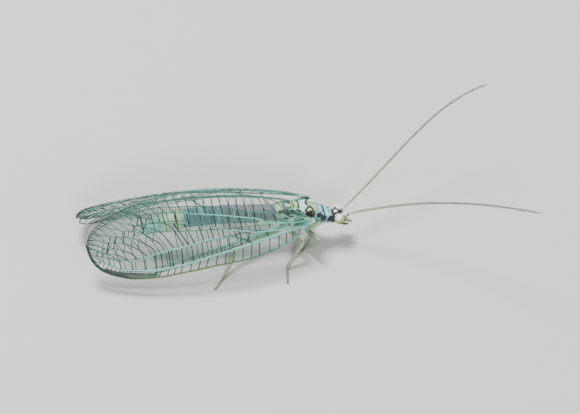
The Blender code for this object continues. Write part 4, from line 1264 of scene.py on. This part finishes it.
class Wing:
    """One wing: its outline on the shared surface, how deep it lies under it, and its veins."""

    def __init__(self, name, side, front, back, span, out):
        self.name, self.side, self.span, self.out = name, side, span, out
        self.front, self.back = front, back
        self.veins, self.routes = [], []

    def swell(self, share, forward):
        """Soft waves of the film, so that it catches the light in patches."""
        along, across = 38 * share + 2.1 * forward + self.out * 9, 5.2 * forward + 7 * share
        return FILM_WAVE * np.sin(along) * np.sin(across)

    def place(self, share, forward, out=0.0):
        share, forward = np.asarray(share, float), np.asarray(forward, float)
        depth = self.out + self.swell(share, forward) + out
        return wing_place(self.side, self.span[0] + (self.span[1] - self.span[0]) * share, forward, depth)

    def up(self, share, forward):
        """Direction out of the film."""
        here = self.place(share, forward)
        ahead = self.place(np.asarray(share) + 1e-3, forward) - here
        across = self.place(share, np.asarray(forward) + 1e-3) - here
        return -unit(np.cross(ahead, across) * self.side)

    def lay(self, share, forward, radii, sides, colours, half_width):
        """A raised tube along places on the film. Its route is kept for the bristles."""
        red, green, blue = ramp(colours, np.linspace(0, 1, len(share))).T
        up = self.up(share, forward)
        path = self.place(share, forward, VEIN_LIFT)
        vein = tube(path, radii, sides, up=up, flat=VEIN_FLATNESS, red=red, green=green, blue=blue)
        self.veins.append(vein)
        self.routes.append((share, forward, path, up, half_width))

    def add(self, chart, half_width, colours, taper=0.7, straight=False, root=0.5):
        """A raised vein along places on the film, (share, forward), slimmer at the wing's root."""
        scaled = np.asarray(chart, float) * (WING_LENGTH, 1)
        count = max(5, int(length_along(scaled)[-1] / VEIN_STEP))
        route = spaced(scaled, count) if straight or len(chart) == 2 else rounded(scaled, count)
        share, forward = (route / (WING_LENGTH, 1)).T
        steps = np.linspace(0, 1, len(route))
        radii = half_width * (1 + (taper - 1) * steps) * (root + (1 - root) * blend(0.0, 0.2, share))
        self.lay(share, forward, radii, VEIN_SIDES, colours, half_width)

    def rung(self, first, second, half_width=RUNG_HALF_WIDTH):
        """A short dark crossvein, a little thinner in its middle."""
        first, second = np.array(first, float), np.array(second, float)
        steps = np.linspace(0, 1, RUNG_PLACES)
        share, forward = (first + (second - first) * steps[:, None]).T
        radii = half_width * (1 - (1 - RUNG_WAIST) * np.sin(math.pi * steps))
        self.lay(share, forward, radii, RUNG_SIDES, "ink", half_width)

    def ladder(self, upper, lower, pairs, half_width=RUNG_HALF_WIDTH):
        """Rungs from one long vein to the next, each pair a share of the length on either."""
        for a, b in pairs:
            self.rung((a, at(upper, a)), (b, at(lower, b)), half_width)

    def margin(self, chart, shares, half_width, colours, taper, shift=0.0):
        """A vein along a margin, or beside it."""
        self.add([(s, at(chart, s) + shift) for s in shares], half_width, colours, taper)

    def forked(self, start, stops, part, half_widths, colours):
        """A vein from start that forks on its way to two places on the hind margin."""
        root, ends = np.array(start, float), np.array([(s, at(self.back, s)) for s in stops])
        stem = root + (ends.mean(axis=0) - root) * part
        self.add([root, stem, ends[0]], half_widths[0], colours, 0.8)
        self.add([stem, ends[1]], half_widths[1], ("dusk", "pine"), 0.8)


def rounded(points, count):
    """Evenly spaced places along a smooth curve through points, cut short of overshoot."""
    points = np.asarray(points, float)
    along = length_along(points)
    even = np.linspace(0, along[-1], max(60, 3 * count))
    track = [smooth(np.stack([along, values], axis=1), even) for values in points.T]
    return spaced(np.stack(track, axis=1), count)


def at(chart, share):
    """A long vein's distance towards the front at a share of the length."""
    return float(smooth(chart, share))


def leaning(shares, shift):
    """Where rungs start and end, as pairs of shares of the length that all differ by shift."""
    return [(s, s + shift) for s in shares]


def raised(chart, shift):
    """A long vein moved towards the front by shift."""
    return [(s, forward + shift) for s, forward in chart]


# Rungs of the fore wing: shares of the length at the front end and at the hind end
COSTAL_RUNGS = (
    (0.062, 0.062), (0.094, 0.093), (0.125, 0.123), (0.161, 0.158), (0.205, 0.202), (0.254, 0.25),
    (0.29, 0.286), (0.33, 0.326), (0.375, 0.366), (0.411, 0.402), (0.451, 0.442), (0.496, 0.482),
    (0.531, 0.518), (0.567, 0.558), (0.607, 0.598), (0.638, 0.625), (0.665, 0.656), (0.701, 0.688),
    (0.724, 0.712), (0.748, 0.738), (0.772, 0.764), (0.794, 0.788))
RADIAL_RUNGS = leaning(
    (0.33, 0.384, 0.424, 0.464, 0.504, 0.549, 0.594, 0.638, 0.650, 0.683, 0.711, 0.757, 0.810, 0.860, 0.905),
    0.006)
SECTOR_RUNGS = (
    (0.304, 0.292), (0.330, 0.345), (0.355, 0.360), (0.408, 0.415), (0.455, 0.469), (0.50, 0.518),
    (0.54, 0.58), (0.566, 0.626))
MEDIA_RUNGS = leaning((0.262, 0.326, 0.379, 0.442, 0.50, 0.558, 0.612, 0.664, 0.714, 0.758), 0.008)
THICK_RUNG = 0.036          # half width of the rungs behind the sector
BASE_RUNGS = (
    ((0.10, -0.45), (0.115, -0.80)), ((0.165, -0.25), (0.18, -0.80)), ((0.215, -0.30), (0.225, -1.2)),
    ((0.12, -0.86), (0.135, -1.22)), ((0.06, -0.20), (0.07, -0.44)))
# The sector's branches, from where each leaves it to the margin
BRANCHES = (
    ((0.585, 0.54), (0.607, 0.06), (0.625, -0.42), (0.66, -0.85), (0.73, -1.25), (0.80, -1.5),
     (0.87, -1.72)),
    ((0.629, 0.62), (0.656, 0.10), (0.674, -0.26), (0.72, -0.66), (0.79, -0.93), (0.85, -1.15),
     (0.915, -1.43)),
    ((0.67, 0.66), (0.696, 0.17), (0.719, -0.03), (0.75, -0.35), (0.80, -0.62), (0.84, -0.70), (0.90, -0.95),
     (0.945, -1.14)),
    ((0.71, 0.77), (0.728, 0.41), (0.772, 0.01), (0.80, -0.20), (0.84, -0.34), (0.88, -0.41), (0.942, -0.62),
     (0.97, -0.84)),
    ((0.746, 0.90), (0.777, 0.51), (0.82, 0.15), (0.844, 0.03), (0.88, -0.06), (0.906, -0.11), (0.95, -0.28),
     (0.984, -0.56)),
    ((0.786, 1.07), (0.808, 0.70), (0.85, 0.40), (0.88, 0.27), (0.915, 0.22), (0.95, 0.05), (0.989, -0.22)),
    ((0.822, 1.09), (0.85, 0.80), (0.88, 0.60), (0.915, 0.50), (0.94, 0.36), (0.965, 0.20), (0.994, 0.02)),
    ((0.856, 1.03), (0.88, 0.88), (0.91, 0.76), (0.945, 0.63), (0.978, 0.36), (0.990, 0.30)),
)
# Shares of the length where the two stepped rows of rungs join one branch to the next
STEPPED_RUNGS = (
    (0.74, 0.775), (0.755, 0.795), (0.795, 0.835), (0.84, 0.875), (0.88, 0.906), (0.911, 0.93),
    (0.93, 0.952))
# Twigs that fork off short of the outer margin
TWIGS = (
    ((0.990, -0.38), (0.960, -0.29)), ((0.978, -0.72), (0.942, -0.50)), ((0.991, -0.12), (0.960, -0.01)),
    ((0.994, 0.12), (0.960, 0.22)), ((0.985, 0.50), (0.946, 0.63)), ((0.972, 0.84), (0.938, 1.02)),
    ((0.955, -1.00), (0.915, -0.82)), ((0.932, -1.28), (0.890, -1.05)), ((0.895, -1.55), (0.855, -1.34)),
    ((0.850, -1.84), (0.810, -1.62)))


def fore_long_veins(wing):
    """Margins and the pale veins that run the wing's length."""
    shares = np.linspace(0, 1, 120)
    wing.margin(wing.front, shares, 0.050, ("mint", "pine", "olive", "olive", "dusk", "dusk"), 1.0)
    outer = np.linspace(0.72, 0.985, 60)
    wing.margin(wing.front, outer, 0.050, ("olive", "dusk", "dusk"), 0.7, shift=-0.05)
    wing.margin(wing.back, shares, 0.030, ("mint", "pine", "pine", "pine", "dusk"), 1.1)
    wing.add(RADIUS, 0.052, ("mint", "ice", "ice", "ice", "ice", "turquoise", "teal"), 0.6, root=1.0)
    wing.add(SUBCOSTA, 0.036, ("mint", "mint", "ice", "ice", "mint", "dusk"), 0.6)
    colours = ("ink", "pine", "ice", "ice", "ice", "ice", "mint", "mint", "pine")
    wing.add(zigzag_sector(), 0.040, colours, 0.6, straight=True)
    wing.add(MEDIA, 0.040, ("mint", "ice", "ice", "mint", "pine", "pine", "pine"), 0.7)
    wing.add(CUBITUS, 0.054, ("mint", "mint", "mint", "mint", "pine", "pine"), 0.5)


def zigzag_sector():
    """The sector, which turns a corner wherever a branch leaves it and again between branches."""
    turns = [branch[0][0] for branch in BRANCHES]
    route = [(s, forward) for s, forward in SECTOR if s < 0.56]
    for low, high in zip(turns, turns[1:] + [0.89]):
        middle = (low + high) / 2
        route += [(low, at(SECTOR, low) - 0.03), (middle, at(SECTOR, middle) + 0.03)]
    return route + [(s, forward) for s, forward in SECTOR if s > 0.895]


def fore_rungs(wing):
    """Dark crossveins between the long veins, and the few cells near the base."""
    wing.ladder(wing.front, SUBCOSTA, COSTAL_RUNGS)
    wing.ladder(wing.front, RADIUS, leaning(np.arange(0.812, 0.965, 0.016), -0.012), 0.027)
    wing.ladder(RADIUS, SECTOR, RADIAL_RUNGS)
    wing.ladder(SECTOR, MEDIA, SECTOR_RUNGS, THICK_RUNG)
    wing.ladder(MEDIA, CUBITUS, MEDIA_RUNGS, THICK_RUNG)
    wing.rung((0.11, 0.29), (0.125, 0.15))
    wing.rung((0.205, 0.54), (0.215, 0.17))
    wing.add([(0.165, 0.17), (0.195, 0.02), (0.235, -0.02), (0.262, 0.16)], 0.028, ("mint", "pine"))
    wing.rung((0.10, 0.14), (0.115, -0.18))
    wing.rung((0.20, 0.0), (0.20, -0.29))


def fore_rear_veins(wing):
    """Forked veins from the cubitus to the hind margin, and the veins behind them at the base."""
    for k, s in enumerate(np.arange(0.262, 0.80, 0.0365)):
        end = s + 0.012 + 0.05 * blend(0.5, 0.8, s)
        part = 0.52 if k % 3 else 0.4
        stops = (end - 0.009, end + 0.011)
        wing.forked((s, at(CUBITUS, s)), stops, part, (0.028, 0.024), ("ink", "ink", "pine", "pine"))
    rear = [(0.02, -0.10), (0.08, -0.36), (0.15, -0.66), (0.215, -1.02), (0.245, -1.84)]
    wing.add(rear, 0.040, ("mint", "mint", "pine", "dusk"), 0.6)
    rear = [(0.01, -0.16), (0.06, -0.46), (0.12, -0.86), (0.165, -1.46)]
    wing.add(rear, 0.036, ("mint", "pine", "dusk"), 0.6)
    wing.add([(0.0, -0.2), (0.04, -0.42), (0.085, -0.88)], 0.030, ("mint", "pine"), 0.7)
    wing.add([(0.0, 0.0), (0.035, 0.03), (0.085, 0.0)], 0.15, ("turquoise", "teal", "dusk"), 0.35)
    wing.add([(0.0, -0.10), (0.03, -0.26), (0.06, -0.50)], 0.11, ("mint", "turquoise", "teal"), 0.35)
    wing.add([(0.15, -0.66), (0.19, -1.25), (0.205, -1.68)], 0.026, ("ink", "pine"), 0.8)
    for first, second in BASE_RUNGS:
        wing.rung(first, second)


def fore_branches(wing):
    """The sector's branches, the rungs between them, and the twigs at the outer margin."""
    for chart in BRANCHES:
        wing.add(chart, 0.030, ("ink", "ink", "dusk", "pine", "pine", "pine", "pine", "dusk"), 0.85)
    for first, second, steps in zip(BRANCHES, BRANCHES[1:], STEPPED_RUNGS):
        wing.ladder(first, second, leaning(steps, 0.008), THICK_RUNG)
    for tip, foot in TWIGS:
        wing.add([tip, foot], 0.028, ("ink", "ink", "pine"), 0.7)


def forewing_veins(wing):
    """The fore wing's net: long pale veins, dark rungs between them, and forks along the margin."""
    fore_long_veins(wing)
    fore_rungs(wing)
    fore_rear_veins(wing)
    fore_branches(wing)


# Long veins of the hind wing: share of the length, distance towards the front
HIND_RADIUS = (
    (0, -0.06), (0.1, 0.13), (0.2, 0.36), (0.35, 0.78), (0.5, 1.16), (0.65, 1.52), (0.76, 1.64), (0.84, 1.5),
    (0.91, 1.14), (0.96, 0.72))
HIND_SECTOR = (
    (0.12, 0.16), (0.2, 0.12), (0.3, 0.22), (0.45, 0.42), (0.6, 0.72), (0.72, 0.95), (0.82, 1.0),
    (0.9, 0.66), (0.97, 0.22))
HIND_MEDIA = (
    (0, -0.13), (0.1, -0.16), (0.25, -0.18), (0.4, -0.22), (0.55, -0.32), (0.68, -0.40), (0.78, -0.35))
HIND_CUBITUS = (
    (0, -0.2), (0.1, -0.34), (0.25, -0.55), (0.4, -0.75), (0.55, -0.9), (0.68, -0.96), (0.78, -0.85))


def hind_branches():
    """Eight slanting branches from the sector to the hind and outer margin."""
    branches = []
    for start, end in zip(np.linspace(0.62, 0.90, 8), np.linspace(0.82, 0.992, 8)):
        top, foot = np.array((start, at(HIND_SECTOR, start))), np.array((end, at(HINDWING_BACK, end)))
        gap = foot - top
        branches.append([top, top + gap * (0.2, 0.32), top + gap * (0.5, 0.6), foot])
    return branches


def hindwing_veins(wing):
    """The narrower hind wing's net, on the same plan."""
    shares = np.linspace(0, 1, 110)
    wing.margin(wing.front, shares, 0.040, ("mint", "pine", "olive", "olive", "dusk"), 1.0)
    wing.margin(wing.back, shares, 0.028, ("mint", "pine", "pine", "dusk"), 1.0)
    wing.add(HIND_RADIUS, 0.050, ("mint", "mint", "pine", "mint", "pine"), 0.6)
    wing.add(raised(HIND_RADIUS[:8], 0.09), 0.034, ("mint", "pine", "pine"), 0.6)
    wing.add(HIND_SECTOR, 0.032, ("dusk", "pine", "mint", "pine", "pine"), 0.7)
    wing.add(HIND_MEDIA, 0.032, ("mint", "pine", "pine"), 0.7)
    wing.add(HIND_CUBITUS, 0.034, ("mint", "pine", "pine"), 0.7)
    behind_edge = raised(HIND_RADIUS, 0.05)
    wing.ladder(wing.front, behind_edge, leaning(np.arange(0.10, 0.94, 0.042), -0.006), 0.026)
    wing.ladder(HIND_RADIUS, HIND_SECTOR, leaning(np.arange(0.18, 0.94, 0.05), 0.006), 0.026)
    wing.ladder(HIND_SECTOR, HIND_MEDIA, leaning(np.arange(0.16, 0.6, 0.052), 0.012), 0.027)
    wing.ladder(HIND_MEDIA, HIND_CUBITUS, leaning(np.arange(0.12, 0.76, 0.056), 0.006), 0.027)
    for s in np.arange(0.14, 0.79, 0.043):
        end = s + 0.014
        stops = (end - 0.010, end + 0.011)
        wing.forked((s, at(HIND_CUBITUS, s)), stops, 0.5, (0.023, 0.020), ("ink", "dusk", "pine"))
    branches = hind_branches()
    for chart in branches:
        wing.add(chart, 0.024, ("ink", "dusk", "pine", "pine", "dusk"), 0.8)
    for first, second in zip(branches, branches[1:]):
        for part in (0.35, 0.62):
            a = first[0][0] + (first[-1][0] - first[0][0]) * part
            wing.ladder(first, second, [(a, max(a + 0.006, second[0][0] + 0.01))], 0.027)


def stigma(wing, chart, start, end, colours):
    """The clouded strip behind the front margin: a thin raised plate with soft ends."""
    rows, columns = STIGMA_GRID
    share = np.linspace(start, end, rows)[:, None]
    low, high = smooth(chart, share), smooth(wing.front, share) - 0.02
    low = low + 0.45 * (high - low)
    pinch = np.sin(math.pi * np.linspace(0.02, 0.98, rows))[:, None] ** 0.3
    across = np.linspace(-0.5, 0.5, columns)[None, :] * pinch
    forward = (low + high) / 2 + np.maximum(high - low, 0.03) * across
    share = np.broadcast_to(share, forward.shape)
    top, under = (wing.place(share, forward, out * pinch) for out in (STIGMA_THICKNESS, -STIGMA_THICKNESS))
    steps = np.broadcast_to(np.linspace(0, 1, rows)[:, None], forward.shape).ravel()
    red, green, blue = np.tile(ramp(colours, steps), (2, 1)).T
    return slab(top, under, wing.side, red=red, green=green, blue=blue)


def slab(top, under, side, **tags):
    """A thin closed slab from two grids of points, one for each face."""
    rows, columns = top.shape[:2]
    count = rows * columns
    faces = grid_faces(rows, columns)
    index = np.arange(count).reshape(rows, columns)
    rim = np.concatenate([index[:, 0], index[-1, 1:], index[::-1, -1][1:], index[0, ::-1][1:]])
    a, b = rim[:-1], rim[1:]
    edge = np.stack([a, b, b + count, a + count], axis=1)
    if side == RIGHT:
        walls = [faces, faces[:, ::-1] + count, edge[:, ::-1]]
    else:
        walls = [faces[:, ::-1], faces + count, edge]
    return Shape(np.concatenate([top.reshape(-1, 3), under.reshape(-1, 3)]), walls, **tags)


def vein_hairs(wing, gap):
    """Roots, directions, places and lengths of the bristles along each vein."""
    for share, forward, path, up, half_width in wing.routes:
        along = length_along(path)
        number = int(along[-1] / gap)
        if number < 1:
            continue
        stops = (np.arange(number) + CHANCE.uniform(0.2, 0.8, number)) * along[-1] / number
        sources = (path, up, np.gradient(path, along, axis=0))
        here, out, ahead = (between(stops, along, source) for source in sources)
        ahead *= np.sign(-ahead[:, :1] + 1e-9)
        beside = np.cross(out, ahead) * CHANCE.choice((-1, 1), (number, 1))
        ways = out * 0.8 + ahead * 0.5 + beside * CHANCE.uniform(0.1, 0.7, (number, 1))
        places = (np.interp(stops, along, values) for values in (share, forward))
        yield here + out * half_width * 0.5, ways, *places, np.full(number, WING_HAIR)


def fringe(wing, gap):
    """The same for the hairs that stand out from the two margins."""
    for chart, way in ((wing.front, 1), (wing.back, -1)):
        share = np.linspace(0.06, 0.995, int(WING_LENGTH / (gap * 0.8)))
        forward = smooth(chart, share)
        here = wing.place(share, forward)
        outward = unit(wing.place(share, forward + 0.01 * way) - here)
        ways = outward + np.array((-0.5, 0, 0))
        ways = ways + wing.up(share, forward) * CHANCE.normal(0, 0.12, (len(share), 1))
        yield here, ways, share, forward, np.full(len(share), WING_HAIR * 1.1)


def wing_hairs(wing, gap):
    """Short bristles that stand along the veins, and a fringe round the margin."""
    groups = [*vein_hairs(wing, gap), *fringe(wing, gap)]
    roots, ways, share, forward, lengths = (np.concatenate(parts) for parts in zip(*groups))
    rgb = ramp(("dusk", "pine"), CHANCE.uniform(0, 1, len(roots)))
    v = 0.02 + 0.46 * (0.5 + forward / 6)
    return hairs(roots, ways, lengths, WING_HAIR_RADIUS, inset(share), v, rgb)


def film(wing):
    """Both faces of the clear film and its rim. The map's lower half holds the upper face."""
    rows, columns = FILM_GRID
    share = np.linspace(0, 1, rows)[:, None] ** 0.96
    across = np.linspace(0, 1, columns)[None, :]
    low, high = smooth(wing.back, share), smooth(wing.front, share)
    forward = low + (high - low) * across
    share = np.broadcast_to(share, forward.shape)
    top, under = (wing.place(share, forward, out) for out in (FILM_THICKNESS / 2, -FILM_THICKNESS / 2))
    u = np.concatenate([share.ravel()] * 2)
    v = 0.02 + 0.46 * np.broadcast_to(across, forward.shape).ravel()
    return slab(top, under, wing.side, u=inset(u), v=np.concatenate([v, v + 0.5]))


def fore_wing(side):
    """The fore wing of one side with its veins and its clouded strip."""
    name = f"forewing_{SIDE_NAMES[side]}"
    wing = Wing(name, side, FOREWING_FRONT, FOREWING_BACK, (0.0, 1.0), FOREWING_OUT[side])
    forewing_veins(wing)
    wing.veins.append(stigma(wing, RADIUS, 0.70, 0.93, ("pine", "dusk", "ink", "dusk", "dusk")))
    return wing


def hind_wing(side):
    """The hind wing of one side, likewise."""
    name = f"hindwing_{SIDE_NAMES[side]}"
    wing = Wing(name, side, HINDWING_FRONT, HINDWING_BACK, HINDWING_SPAN, HINDWING_OUT[side])
    hindwing_veins(wing)
    wing.veins.append(stigma(wing, HIND_RADIUS, 0.74, 0.90, ("olive", "dusk", "dusk", "olive")))
    return wing


def wings():
    films = (film_paint("forewing_film", 0.085, 420.0), film_paint("hindwing_film", 0.065, 520.0))
    vein_look, hair_look = horn_paint("wing_vein", 0.36), horn_paint("wing_hair", HAIR_ROUGHNESS)
    for side in (RIGHT, LEFT):
        for wing, film_look, gap in zip((fore_wing(side), hind_wing(side)), films, WING_HAIR_GAPS):
            node = (wing.name,)
            piece(f"{wing.name}_film", film(wing), film_look, node)
            piece(f"{wing.name}_veins", joined(wing.veins), vein_look, node)
            piece(f"{wing.name}_hair", wing_hairs(wing, gap), hair_look, node)


# Stage


def ground():
    bpy.ops.mesh.primitive_plane_add(size=FLOOR_SIZE, location=(0, 0, 0))
    floor = bpy.context.object
    floor.name = "floor"
    paint = Paint("floor_paper", Base_Color=FLOOR_COLOUR, Roughness=0.85)
    floor.data.materials.append(paint.material)


def sky():
    world = bpy.data.worlds.new("studio")
    bpy.context.scene.world = world
    world.use_nodes = True
    background = world.node_tree.nodes["Background"]
    background.inputs["Color"].default_value = (*SKY_COLOUR, 1)
    background.inputs["Strength"].default_value = SKY_STRENGTH


def lamps():
    for name, place, size, power in LAMPS:
        lamp = bpy.data.lights.new(name, "AREA")
        lamp.shape = "DISK"
        lamp.size = size
        lamp.energy = power
        holder = bpy.data.objects.new(name, lamp)
        holder.location = place
        holder.rotation_euler = (-Vector(place)).to_track_quat("-Z", "Y").to_euler()
        bpy.context.scene.collection.objects.link(holder)


def camera():
    """The photograph's camera: its direction, its roll, and a long lens for its nearly flat view."""
    turn, rise, roll = (math.radians(v) for v in (CAMERA_AZIMUTH, CAMERA_ELEVATION, CAMERA_ROLL))
    back = np.array((math.sin(turn) * math.cos(rise), -math.cos(turn) * math.cos(rise), math.sin(rise)))
    level = np.array((math.cos(turn), math.sin(turn), 0))
    above = np.cross(back, level)
    right = math.cos(roll) * level + math.sin(roll) * above
    up = np.cross(back, right)
    place = CAMERA_MIDDLE[0] * right + CAMERA_MIDDLE[1] * up + CAMERA_DISTANCE * back
    lens = bpy.data.cameras.new("camera")
    lens.sensor_width = SENSOR_WIDTH
    lens.lens = SENSOR_WIDTH * CAMERA_DISTANCE / FRAME_WIDTH
    lens.clip_start = 0.001
    made = bpy.data.objects.new("camera", lens)
    bpy.context.scene.collection.objects.link(made)
    facing = Matrix((right, up, back)).transposed().to_4x4()
    made.matrix_world = Matrix.Translation(Vector((place + SHIFT) * MM)) @ facing
    bpy.context.scene.camera = made


def main():
    body()
    eyes = eye_paint()
    feelers = feeler_paint()
    horn = leg_paint()
    mouthparts()
    for side in (RIGHT, LEFT):
        eye(side, eyes)
        feeler(side, feelers)
        for which in LEGS:
            leg(which, side, horn)
    wings()
    ground()
    sky()
    lamps()
    camera()


main()
